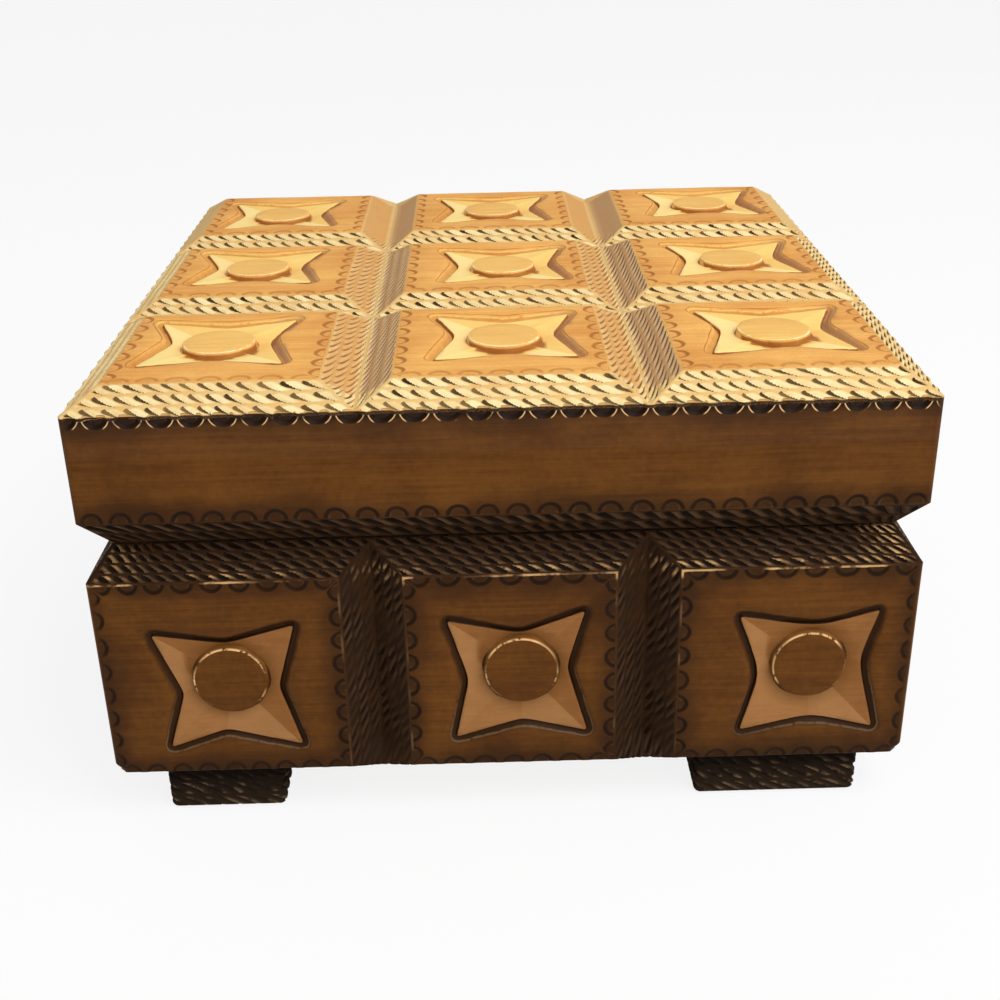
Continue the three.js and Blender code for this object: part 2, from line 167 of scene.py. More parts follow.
def angle_property(name, description, degrees):
    """An angle whose default is written in degrees."""
    return FloatProperty(
        name=name, description=description, default=math.radians(degrees), subtype="ANGLE"
    )


def colour_property(name, description, red, green, blue):
    """A colour whose default is written as 0 to 255."""
    return FloatVectorProperty(
        name=name, description=description, default=srgb(red, green, blue), subtype="COLOR",
        size=3, min=0, max=1,
    )


class CarvingSizes(bpy.types.PropertyGroup):
    """Sizes of the pads, grooves, stars and tool marks."""

    top_groove_depth: length_property("Top groove depth", "Depth of the grooves in the lid top", 4)
    top_groove_half: length_property("Top groove half width", "Middle of a groove to the pad", 6.25)
    wall_groove_depth: length_property("Wall groove depth", "Depth of the grooves in the walls", 4)
    wall_groove_half: length_property("Wall groove half width", "Middle of a groove to the pad", 5.75)
    wall_groove_shift: length_property("Wall groove shift", "Grooves right of the thirds", 0.8)
    run_out: length_property("Groove run-out", "Height over which a wall groove deepens", 5)
    bevel_height: length_property("Seam bevel height", "Height of each bevel at the seam", 6)
    bevel_inset: length_property("Seam bevel inset", "How far the seam lies behind the face", 4.6)
    top_disc: length_property("Lid disc radius", "Radius of the discs on the lid", 6.7)
    wall_disc: length_property("Wall disc radius", "Radius of the discs on the walls", 6.8)
    star_tip_depth: length_property("Star tip depth", "The star's edge below the pad at a tip", 0.3)
    star_notch_depth: length_property("Star notch depth", "The same at a notch", 0.9)
    star_dish: length_property("Star dish", "Extra depth at the foot of the disc", 0.45)
    outline_drop: length_property("Outline drop", "The cut round a star, below its edge", 0.6)
    outline_width: length_property("Outline width", "Width of the cut round a star", 1.9)
    row_pitch: length_property("Row rope pitch", "From cut to cut on slopes along X", 3.4)
    row_lean: angle_property("Row rope lean", "Slant of those cuts", 30)
    column_pitch: length_property("Column rope pitch", "From cut to cut on slopes along Y", 3.1)
    column_lean: angle_property("Column rope lean", "Slant of those cuts", 18)
    lid_pitch: length_property("Lid seam rope pitch", "From cut to cut over the seam", 3.5)
    lid_lean: angle_property("Lid seam rope lean", "Slant of those cuts", 42)
    seam_pitch: length_property("Seam rope pitch", "From cut to cut under the seam", 2.9)
    seam_lean: angle_property("Seam rope lean", "Slant of those cuts", 24)
    groove_pitch: length_property("Groove rope pitch", "From cut to cut in the walls' grooves", 2.7)
    groove_lean: angle_property("Groove rope lean", "Slant of those cuts", 28)
    rope_depth: length_property("Rope depth", "Depth of the rope's cuts", 0.55)
    scallop_pitch: length_property("Scallop pitch", "Distance from one scallop to the next", 5.3)
    scallop_radius: length_property("Scallop radius", "Radius of the gouge that cut them", 2.1)
    scallop_depth: length_property("Scallop depth", "Depth of a scallop on a pad", 0.3)
    bite_depth: length_property("Bite depth", "Depth of the scallops along the lid's top edge", 0.6)
    corner_radius: length_property("Corner radius", "Wear on the upright corners", 1.1)
    bottom_radius: length_property("Bottom radius", "Wear along the body's bottom edge", 0.5)
    foot_radius: length_property("Foot radius", "Wear on the feet's edges", 1.4)
    top_step: length_property("Top mesh step", "Grid step of the lid top", 0.28)
    side_step: length_property("Side mesh step", "Grid step of walls, rails and feet", 0.28)
    seed: IntProperty(name="Seed", description="Start of the carver's small errors", default=7)


class WoodColours(bpy.types.PropertyGroup):
    """Stains of the wood, the colours of its painted highlights and shade, and the colour of the brass.
    """

    top_ground: colour_property("Top ground", "Honey pads of the lid top", 250, 192, 104)
    top_ground_dark: colour_property("Top grain", "Their darker grain", 224, 152, 72)
    top_star: colour_property("Top star", "Stars of the lid top", 255, 224, 132)
    # The strands' crests: their own lighter colour with a painted highlight. Also the painted glints
    # beside the scallops and, on the lid, the stars' lit facets and the discs' rims.
    top_ridge: colour_property("Top ridge", "Strands of its rope", 255, 234, 178)
    top_band: colour_property("Top band", "Hollows between the strands", 222, 186, 122)
    # Stain held in the cuts, together with the painted shade on their steep walls.
    top_cut: colour_property("Top cut", "Stain in the bottoms of its cuts", 38, 24, 5)
    # Also the painted shadows at the discs' feet and under their rims, and the painted shade in the
    # cuts round the stars.
    top_edge: colour_property("Top edge", "Scallops and outlines of the lid top", 160, 92, 36)
    side_ground: colour_property("Side ground", "Pads and skirt of the sides", 104, 64, 22)
    side_ground_dark: colour_property("Side grain", "Their darker grain", 80, 45, 15)
    side_star: colour_property("Side star", "Stars of the sides", 150, 100, 56)
    # The strands' crests: their own lighter colour with a painted highlight. Also the painted glints
    # beside the scallops.
    side_ridge: colour_property("Side ridge", "Strands of the sides' rope", 94, 70, 48)
    side_band: colour_property("Side band", "Hollows between the strands", 40, 24, 11)
    # Stain held in the cuts, together with the painted shade on their steep walls.
    side_cut: colour_property("Side cut", "Stain in the bottoms of its cuts", 16, 7, 2)
    # Also the painted shadows at the discs' feet and the painted shade in the cuts round the stars.
    side_edge: colour_property("Side edge", "Scallops and outlines of the sides", 42, 25, 11)
    # The colour of rubbed edges, and also of the painted highlights on the discs' rims, the scallops'
    # ends, the bevels' ends and, on the walls, the stars' lit facets.
    wear_and_highlight: colour_property("Worn edge", "Edges where the stain has rubbed off", 228, 180, 122)
    # A painted highlight on the far wall of the cut round a star, on the side that catches the light.
    lip: colour_property("Lip", "Far wall of the cut round a star", 106, 84, 60)
    # The colour of the painted highlights on the feet's strands.
    foot: colour_property("Foot", "Strands of the stained feet", 108, 86, 62)
    bare: colour_property("Bare wood", "Unvarnished wood inside", 196, 154, 104)
    brass: colour_property("Brass", "Hinges, pins and screws", 196, 158, 88)


class StageSettings(bpy.types.PropertyGroup):
    """Camera, floor and lamps."""

    lens: FloatProperty(name="Lens", description="Focal length in mm on 36 mm", default=49.405)
    pitch: angle_property("Pitch", "Camera's tilt down", 25.39)
    yaw: angle_property("Yaw", "Camera's turn to the right", 0.616)
    roll: angle_property("Roll", "Camera's roll", -1.192)
    camera_x: length_property("Camera X", "Place of the camera", -3.06)
    camera_y: length_property("Camera Y", "Place of the camera", -290.4)
    camera_z: length_property("Camera Z", "Place of the camera", 168.1)
    floor: colour_property("Floor", "Colour of the floor and backdrop", 243, 243, 243)
    key: FloatProperty(name="Key", description="Power of the large lamp above, in W", default=7.8)
    fill: FloatProperty(name="Fill", description="Power of the lamp in front, in W", default=3.2)
    sky: FloatProperty(name="Sky", description="Strength of the even light", default=0.45)


# Formulas that take arrays, for the mesh, or shader values, for the stain, its painted light and shade,
# and the bump


ARRAY_MATHS = {
    "FRACT": lambda a: a - np.floor(a),
    "FLOOR": np.floor,
    "ABSOLUTE": np.abs,
    "SQRT": lambda a: np.sqrt(np.maximum(a, 0)),
    "MAXIMUM": np.maximum,
    "MINIMUM": np.minimum,
}


def maths(operation, *terms):
    """One operation on arrays or, as a Math node, on shader values."""
    for term in terms:
        if isinstance(term, Value):
            return term.finish.node("ShaderNodeMath", {"operation": operation}, dict(enumerate(terms)))
    return ARRAY_MATHS[operation](*terms)


def ramp(x, low, high):
    """Smooth step: 0 below low, 1 above high, and 3t^2 - 2t^3 between them."""
    if isinstance(x, Value):
        sockets = {"Value": x, "From Min": low, "From Max": high}
        return x.finish.node("ShaderNodeMapRange", {"interpolation_type": "SMOOTHSTEP"}, sockets)
    t = np.clip((x - low) / (high - low), 0, 1)
    return t * t * (3 - 2 * t)


def rope(strand, row):
    """Rows of leaf-shaped cuts that all lean one way. strand counts the strands between the cuts and
    row counts the rows. In a row, a goes from -1 at a cut's blunt start to 1 at its tail, and
    room = 1 - a^2; q goes from 0 at its steep edge to 1 at the next one's. The cut is 1 at its steep
    edge and falls to 0 at q = 0.56 room (1 - 0.3 a). Returns q, room and the cut."""
    a = maths("MAXIMUM", maths("MINIMUM", (maths("FRACT", row) - 0.5) / 0.44, 1), -1)
    room = 1 - a * a
    q = maths("FRACT", strand + 0.42 * maths("FLOOR", row))
    cut = maths("MAXIMUM", 1 - q / (0.56 * room * (1 - 0.3 * a) + 0.001), 0)
    return q, room, cut


def scallop(along, inside, pitch, radius):
    """Thumbnail cuts in a row along an edge. With f the place along the edge from a cut's middle and
    r the distance from there, each cut reaches to r = R. Returns r - R, the cut's floor, and f / R."""
    f = (maths("FRACT", along) - 0.5) * pitch
    beyond = maths("SQRT", f * f + inside * inside) - radius
    return beyond, 1 - ramp(beyond, -0.5 * MM, 0.1 * MM), f / radius


# Shapes as arrays


def fillet(distance, radius):
    """Depth of a quarter-round edge at a distance in from it: r - sqrt(r^2 - (r - distance)^2)."""
    inside = np.clip(radius - distance, 0, radius)
    return radius - np.sqrt(radius**2 - inside**2)


def valley(distance, half_width, depth):
    """A V groove whose shoulders are eased: its straight slope depth * (1 - |distance| / half width)
    goes through (x + sqrt(x^2 + s^2)) / 2, which tends to x in the groove and to 0 outside it."""
    slope = depth * (1 - np.abs(distance) / half_width)
    return (slope + np.sqrt(slope**2 + SHOULDER**2)) / 2


def unevenness(p, q, seed, height, shortest=12 * MM, longest=45 * MM):
    """Work by eye: five long waves of random direction, length and phase, averaged."""
    rng = np.random.default_rng(seed)
    total = np.zeros_like(p)
    for _ in range(5):
        angle = rng.uniform(0, math.tau)
        wave = math.tau / rng.uniform(shortest, longest)
        total += np.sin(wave * (p * math.cos(angle) + q * math.sin(angle)) + rng.uniform(0, math.tau))
    return height * total / 5


def grid_lines(stops, step, eights=()):
    """Lines through every stop, each stretch between two stops being divided evenly and no wider
    than step. The stretches numbered in eights get a multiple of eight divisions."""
    lines = [np.array(stops[:1], float)]
    for i, (a, b) in enumerate(zip(stops, stops[1:])):
        unit = 8 if i in eights else 1
        count = unit * max(1, math.ceil((b - a) / (step * unit) - 1e-6))
        lines.append(np.linspace(a, b, count + 1)[1:])
    return np.concatenate(lines)


# What each point knows for the stain and its painted light and shade, and its value on plain wood:
# distance into a rope band, strand and row there and how strong the rope is, place along and distance
# from the nearest pad edge and how strong its scallops are, distances into a star and its disc, how
# light the painted rim or lip is there, which way the star's facet and the groove's slope face for
# their painted light and shade, how much wear and painted highlight its edge has, and whether it is
# inside the box.
PLAIN = {
    "band": -FAR, "strand": 0.0, "row": 0.0, "rope": 0.0, "along": 0.0, "inside": FAR,
    "edging": 0.0, "star": -FAR, "disc": -FAR, "rim": 0.0, "fold": 0.0, "facing": 0.0, "wear_and_highlight": 0.0,
    "bare": 0.0,
}


def plain(count):
    """What points on plain wood know, for a count of them."""
    return {name: np.full(count, value) for name, value in PLAIN.items()}


def mitre_shift(p, end_depth):
    """How far a point moves in along the wall so that the last one lies on the mitre: all of the
    depth at the end, fading to none over MITRE_FADE."""
    from_end = HALF - np.abs(p)
    return -np.sign(p) * end_depth * np.clip(1 - from_end / MITRE_FADE, 0, 1)


def along_edge(sizes, place, start, end):
    """Place along an edge in scallops, a whole number of them from start to end."""
    return (place - start) / (end - start) * round((end - start) / sizes.scallop_pitch)


class Face:
    """One carved face: plan points p and q, their depth below the face, and what they know."""

    def __init__(self, points):
        self.p, self.q = points[:, 0], points[:, 1]
        self.depth = np.zeros(len(points))
        self.known = plain(len(points))

    def lay_rope(self, where, out, rows, cuts, strength, seed, upright=False):
        """Numbers the rows and strands of a band, where out goes from 0 to 1 down its slope. The
        strands are (p + q / tan lean) / pitch, counted downwards, or the same with q and -p on an
        upright band; cuts holds the pitch and the lean."""
        known, (pitch, lean) = self.known, cuts
        p, q = (self.q, -self.p) if upright else (self.p, self.q)
        strand = -(p + q / math.tan(lean)) / pitch + unevenness(self.p, self.q, [seed, 1], 0.5)
        row = out * rows + unevenness(self.p, self.q, [seed, 2], 0.14)
        known["strand"] = np.where(where, strand, known["strand"])
        known["row"] = np.where(where, np.clip(row, 0.02, rows - 0.02), known["row"])
        known["rope"] = np.where(where, strength, known["rope"])

    def lay_edge(self, where, along, inside, strength):
        """Puts a row of scallops along an edge, for the points that have no nearer edge."""
        known = self.known
        nearer = where & (inside < known["inside"])
        fade = np.where(where, ramp(np.abs(known["inside"] - inside), 0.0, 0.5 * MM), 1)
        sway = unevenness(self.p, self.q, [5, 3], 0.12)
        known["edging"] = fade * np.where(nearer, strength, known["edging"])
        known["along"] = np.where(nearer, along + sway, known["along"])
        known["inside"] = np.where(nearer, inside, known["inside"])
        known["inside"] = np.where(known["band"] > -1e-6, 0, known["inside"])

    def lay_pad(self, pad, sizes, left, right, low, high, strengths):
        """Scallops along a pad's left, right, lower and upper edges, as far as strengths go."""
        p, q = self.p, self.q
        up, over = along_edge(sizes, q, low, high), along_edge(sizes, p, left, right)
        edges = ((up, p - left), (up, right - p), (over, q - low), (over, high - q))
        for (along, inside), strength in zip(edges, strengths):
            self.lay_edge(pad, along, inside, strength)

    def carve(self, sizes, edge_depth, at_edge):
        """Depth of the rope and the scallops, by the same formulas as their stain. The floor of a
        scallop falls from a share of its depth at the edge to all of it at the wall."""
        known = self.known
        q, room, cut = rope(known["strand"], known["row"])
        groove = np.maximum(cut, ramp(q, 0.86, 1.0)) * np.sqrt(room) * known["rope"]
        radius = sizes.scallop_radius
        _, floor, _ = scallop(known["along"], known["inside"], sizes.scallop_pitch, radius)
        fall = np.clip(at_edge + (1 - at_edge) * known["inside"] / radius, 0, 1)
        in_band = ramp(known["band"], -0.1 * MM, 0.4 * MM)
        return sizes.rope_depth * groove * in_band + edge_depth * floor * known["edging"] * fall

    def placed(self, end_depth):
        """The carved points in the wall's own frame, drawn in at its ends to the mitres."""
        return np.column_stack([self.p + mitre_shift(self.p, end_depth), self.depth, self.q])


# Flat plans with star patches, which the faces then carve


class Plan:
    """A flat grid with a square hole round each star, filled by rings that follow the star's own
    edges. Points, faces with three or four corners, and what the rings know of depth and stain."""

    def __init__(self, u, v, holes=()):
        self.u, self.v = u, v
        nu, nv = len(u), len(v)
        self.grid = np.arange(nu * nv).reshape(nu, nv)
        uu, vv = np.meshgrid(u, v, indexing="ij")
        self.points = [np.column_stack([uu.ravel(), vv.ravel()])]
        keep = np.ones((nu - 1, nv - 1), bool)
        self.holes = []
        for low_u, high_u, low_v, high_v in holes:
            i0, i1 = np.searchsorted(u, [low_u - 1e-7, high_u - 1e-7])
            j0, j1 = np.searchsorted(v, [low_v - 1e-7, high_v - 1e-7])
            keep[i0:i1, j0:j1] = False
            self.holes.append((i0, i1, j0, j1))
        grid = self.grid
        corners = [grid[:-1, :-1], grid[1:, :-1], grid[1:, 1:], grid[:-1, 1:]]
        self.faces = [np.column_stack([c[keep] for c in corners])]
        self.patches = []  # (first point, depth, what the points know)
        self.count = nu * nv

    def hole_loop(self, hole):
        """The grid's points round a hole, anticlockwise from its lower left corner."""
        i0, i1, j0, j1 = hole
        g = self.grid
        return np.concatenate([g[i0:i1, j0], g[i1, j0:j1], g[i1:i0:-1, j1], g[i0, j1:j0:-1]])

    def outer_loop(self):
        """The points round the whole grid, in the same order."""
        return self.hole_loop((0, len(self.u) - 1, 0, len(self.v) - 1))

    def fill_star(self, hole, star):
        """Rings of the star from its middle out, then a fan of triangles to the hole's finer edge."""
        loop = self.hole_loop(hole)
        columns = len(loop) // 2
        rings, depth, known = star_rings(star, self.points[0][loop[0::2]])
        index = self.count + 1 + np.arange(len(rings) * columns).reshape(len(rings), columns)
        after = np.roll(index, -1, axis=1)
        self.faces.append(np.column_stack([np.full(columns, self.count), index[0], after[0]]))
        for k in range(len(rings) - 1):
            self.faces.append(np.column_stack([index[k], index[k + 1], after[k + 1], after[k]]))
        even, odd, later = loop[0::2], loop[1::2], np.roll(loop[0::2], -1)
        last, last_after = index[-1], after[-1]
        self.faces.append(np.column_stack([last, even, odd]))
        self.faces.append(np.column_stack([last, odd, last_after]))
        self.faces.append(np.column_stack([last_after, odd, later]))
        self.points.append(np.concatenate([star["disc"][None, :], *rings]))
        self.patches.append((self.count, depth, known))
        self.count += 1 + len(rings) * columns

    def face(self):
        """A Face over all points that already holds the stars."""
        face = Face(np.concatenate(self.points))
        for first, depth, known in self.patches:
            where = slice(first, first + len(depth))
            face.depth[where] = depth
            for name, values in known.items():
                face.known[name][where] = values
        return face


def make_star(rng, sizes, middle, shape, disc_radius, light):
    """One star: its corners, the disc's place and radius, depths at the corners, and the direction
    whose far lips and rims catch the light."""
    corners, disc, soft = shape
    corners = np.array(corners) * MM + rng.normal(0, 0.2 * MM, (8, 2))
    depths = np.tile([sizes.star_tip_depth, sizes.star_notch_depth], 4) * rng.normal(1, 0.12, 8)
    return {
        "corners": corners + middle,
        "depths": depths,
        "disc": np.array(disc) * MM + middle,
        "radius": disc_radius,
        "light": np.array(light),
        "phase": rng.uniform(0, math.tau, 3),
        "soft": soft,
        "sizes": sizes,
    }


def outline_distance(points, outline):
    """Distance of points into a closed outline: to its nearest edge, and negative outside, where a
    level ray crosses the outline an even number of times."""
    start, end = outline, np.roll(outline, -1, axis=0)
    edge = end - start
    rel = points[:, None, :] - start
    share = np.clip((rel * edge).sum(2) / (edge**2).sum(1), 0, 1)
    gap = np.linalg.norm(rel - share[:, :, None] * edge, axis=2).min(1)
    x, y = points[:, 0, None], points[:, 1, None]
    spans = (start[:, 1] > y) != (end[:, 1] > y)
    rise = np.where(edge[:, 1] == 0, 1, edge[:, 1])
    crossed = spans & (x < start[:, 0] + edge[:, 0] * (y - start[:, 1]) / rise)
    return np.where(crossed.sum(1) % 2 == 1, gap, -gap)


# Rings round a star. On its disc: share of the radius, and depth. On its roofs: share of the way from
# the disc's foot to the outline. In the cut: mm outside the outline. Round that: share of the way to
# the hole's edge.
DISC_RINGS = ((0.35, 0), (0.7, 0), (0.93, 0.01 * MM), (1.0, 0.12 * MM))
ROOF_RINGS = (0.0, 0.1, 0.37, 0.64, 0.88, 1.0)
CUT_RINGS = (0.25, 0.65, 1.05, 1.45, 1.95)
LEVEL_RINGS = (0.35, 0.7)


def star_rings(star, boundary):
    """Closed rings of points round a star, from the disc's middle out to the points of the hole's
    boundary. Ring n of the outline is the star's polygon with each corner moved out along its
    bisector, then rounded by averaging neighbours. The disc is flat and its side nearly upright; four
    roofs run from its foot to the tips; the cut round the star follows its true distance. Returns the
    rings, the depth of their points, the middle first, and what these know."""
    sizes, corners = star["sizes"], star["corners"]
    columns = len(boundary)
    share = np.tile(np.arange(columns // 8) / (columns // 8), 8)
    corner = np.repeat(np.arange(8), columns // 8)
    nxt = (corner + 1) % 8

    def blend(values):
        """Values of the corners, carried evenly along the edges between them."""
        weight = share if values.ndim == 1 else share[:, None]
        return values[corner] * (1 - weight) + values[nxt] * weight

    at_notch = ramp(np.where(corner % 2 == 0, share, 1 - share), 0.15, 0.7)[:, None]

    def rounded(ring):
        """Each point moved to the mean of five neighbours, weighted 1 to 3: once all round, then as
        often as the star is soft, near its notches only."""
        weights = ((-2, 1), (-1, 2), (0, 3), (1, 2), (2, 1))
        for turn in range(1 + star["soft"]):
            mean = sum(weight * np.roll(ring, shift, axis=0) for shift, weight in weights) / 9
            ring = ring + (mean - ring) * (at_notch if turn else 1)
        return ring

    ahead = np.roll(corners, -1, axis=0) - corners
    ahead /= np.linalg.norm(ahead, axis=1)[:, None]
    behind = np.roll(ahead, 1, axis=0)
    normals = [np.column_stack([d[:, 1], -d[:, 0]]) for d in (ahead, behind)]
    bisector = normals[0] + normals[1]
    bisector /= np.linalg.norm(bisector, axis=1)[:, None]
    mitre = 1 / np.maximum((bisector * normals[0]).sum(1), 1e-3)
    outward = bisector * np.minimum(mitre, 1.3)[:, None]

    outline = rounded(blend(corners))
    edge_depth = blend(star["depths"])
    ray = outline - star["disc"]
    reach = np.linalg.norm(ray, axis=1)
    ray /= reach[:, None]
    radius = star["radius"]
    foot = np.minimum(radius + 0.28 * MM, 0.96 * reach)
    disc = np.minimum(radius, 0.93 * reach)
    foot_depth = edge_depth + sizes.star_dish
    rings, depths = [], []
    for part, sunk in DISC_RINGS:
        rings.append(star["disc"] + ray * (disc * part)[:, None])
        depths.append(np.full(columns, sunk))
    for part in ROOF_RINGS:
        rings.append(star["disc"] + ray * (foot + (reach - foot) * part)[:, None])
        depths.append(foot_depth + (edge_depth - foot_depth) * part + (0.06 * MM if part == 1 else 0))
    for offset in CUT_RINGS:
        ring = rounded(blend(corners + outward * offset * MM))
        gap = -outline_distance(ring, outline)
        fall = ramp(gap, 0.0, 0.28 * MM) * sizes.outline_drop
        climb = 1 - ramp(gap, 0.3 * MM, sizes.outline_width)
        rings.append(ring)
        depths.append((edge_depth + fall) * climb)
    last = rings[-1]
    for part in LEVEL_RINGS:
        rings.append(last * (1 - part) + boundary * part)
        depths.append(np.zeros(columns))
    facet = np.tile(-normals[0][corner] @ np.array(FACET_LIGHT), len(rings))
    known = star_marks(star, rings, outline, np.concatenate([[0], facet]))
    return rings, np.concatenate([[0.0], *depths]), known


def star_marks(star, rings, outline, facet):
    """What the points round a star know: true distances into its outline and its disc, how light the
    disc's rim or the cut's lip is on the side that catches the light, which way the facet faces, less
    the shadow under the rim, a crescent deepest towards the light, and the cut's shaded side."""
    points = np.concatenate([star["disc"][None, :], *rings])
    from_disc = points - star["disc"]
    distance = np.linalg.norm(from_disc, axis=1)
    heading = np.arctan2(from_disc[:, 1], from_disc[:, 0])
    turn = sum(np.sin((3 + 2 * k) * heading + star["phase"][k]) for k in range(3)) / 3
    lit = (from_disc @ star["light"]) / np.maximum(distance, 1e-6)
    star_in = outline_distance(points, outline)
    lip = np.clip(-1.3 * lit + 0.5 * turn, 0, 1)
    rim = np.clip(0.35 + 0.75 * lit + 0.75 * turn, 0, 1)
    shaded = np.clip(1.7 * from_disc[:, 0] / np.maximum(distance, 1e-6) - 0.6, 0, 1)
    below_rim = 2.2 * MM * np.maximum(lit, 0) - distance + star["radius"]
    return {
        "star": star_in,
        "disc": star["radius"] - distance,
        "rim": np.where(star_in > 0, rim, lip),
        "fold": facet - 3 * ramp(below_rim, -0.1 * MM, 0.6 * MM),
        "facing": -shaded * (star_in < -0.1 * MM) * (star_in > -1.8 * MM),
    }


# Meshes and their places


def compact(points, faces):
    """Drops the points that no face uses and renumbers the faces."""
    used = np.unique(np.concatenate([f.ravel() for f in faces]))
    number = np.full(len(points), -1)
    number[used] = np.arange(len(used))
    return used, [number[f] for f in faces]


def make_piece(name, points, faces, known=None):
    """A mesh object at the origin from points in metres and arrays of faces, outward by their order,
    with what the points know as float attributes."""
    if known:
        used, faces = compact(points, faces)
        points = points[used]
        known = {key: values[used] for key, values in known.items()}
    mesh = bpy.data.meshes.new(name)
    corners = np.concatenate([np.asarray(f).ravel() for f in faces]).astype(np.int32)
    lengths = np.concatenate([np.full(len(f), np.asarray(f).shape[1]) for f in faces])
    starts = np.concatenate([[0], np.cumsum(lengths)[:-1]]).astype(np.int32)
    mesh.vertices.add(len(points))
    mesh.vertices.foreach_set("co", np.asarray(points, np.float32).ravel())
    mesh.loops.add(len(corners))
    mesh.loops.foreach_set("vertex_index", corners)
    mesh.polygons.add(len(starts))
    mesh.polygons.foreach_set("loop_start", starts)
    for key, values in (known or {}).items():
        attribute = mesh.attributes.new(key, "FLOAT", "POINT")
        attribute.data.foreach_set("value", np.asarray(values, np.float32))
    mesh.update(calc_edges=True)
    mesh.polygons.foreach_set("use_smooth", np.ones(len(starts), bool))
    mesh.set_sharp_from_angle(angle=math.radians(62))
    piece = bpy.data.objects.new(name, mesh)
    bpy.context.scene.collection.objects.link(piece)
    return piece


def finish_piece(piece, body, node, material):
    """Stands a piece in for a CAD node of the same place."""
    piece.data.materials.append(material)
    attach(piece, body)
    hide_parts(node)


def turned(points, side):
    """Points of a wall in its own frame, face at y = 0 and inside at +y, set at one side of the box."""
    x, y, z = points[:, 0], points[:, 1] - HALF, points[:, 2]
    for _ in range(SIDES.index(side)):
        x, y = -y, x
    return np.column_stack([x, y, z])


def seen_from(flat, side):
    """Plan points of the box as place along a side, and distance in from its face."""
    x, y = flat[:, 0], flat[:, 1]
    for _ in range(SIDES.index(side)):
        x, y = y, -x
    return x, y + HALF


def corner_wear(p, inset, radius):
    """Quarter-round wear of the upright corner, behind a face that is inset already."""
    end_depth = inset + (1 - math.sqrt(0.5)) * radius
    moved = np.abs(p + mitre_shift(p, end_depth))
    return end_depth, np.maximum(fillet(HALF - moved - inset, radius), 0)


def lid_side(points, side, sizes):
    """One side of the lid, with q the height: the bevel down to the seam and its rope, the scallops
    over it and the bites along the top edge. Returns the face and the depth of its ends."""
    face = Face(points)
    p, q = face.p, face.q
    number = SIDES.index(side)
    bevel_top, edge = lid_bevel(sizes), top_edge(sizes)
    out = (bevel_top - q) / sizes.bevel_height
    inset = np.clip(out, 0, 1) * sizes.bevel_inset
    end_depth, wear_and_highlight = corner_wear(p, inset, sizes.corner_radius)
    calm = ramp(HALF - np.abs(p), 0.3 * MM, 1.5 * MM)
    face.known["band"] = bevel_top - q
    face.lay_rope(out > 0, out, 2, (sizes.lid_pitch, sizes.lid_lean), calm, sizes.seed + number)
    everywhere = np.ones(len(p), bool)
    along = along_edge(sizes, p, -HALF, HALF)
    face.lay_edge(everywhere, along, np.maximum(q - bevel_top, 0), 0.9 * calm * (out < 0))
    face.lay_edge(everywhere, along + 0.3, np.maximum(edge - q, 0), calm)
    bitten = edge - q < q - bevel_top
    edge_depth = np.where(bitten, sizes.bite_depth, sizes.scallop_depth)
    planed = 0.06 * MM * (1 + unevenness(p, q, [sizes.seed, number, 2], 1))
    carved = planed + face.carve(sizes, edge_depth, np.where(bitten, 0.75, 0.3))
    face.depth = inset + wear_and_highlight + carved * calm
    return face, end_depth


# Lid


def pad_stops(lines, half_groove, shifts, half_hole):
    """Grid stops across pads between groove lines: pad edges, the holes for the stars, which follow
    the stars' shifts, and the lines. Also the holes, and which stretches they are."""
    stops, holes, eights = [lines[0]], [], []
    for low, high, shift in zip(lines, lines[1:], shifts):
        middle = (low + high) / 2 + shift
        stops += [low + half_groove, middle - half_hole, middle + half_hole, high - half_groove, high]
        holes.append((middle - half_hole, middle + half_hole))
        eights.append(len(stops) - 4)
    return stops, holes, eights


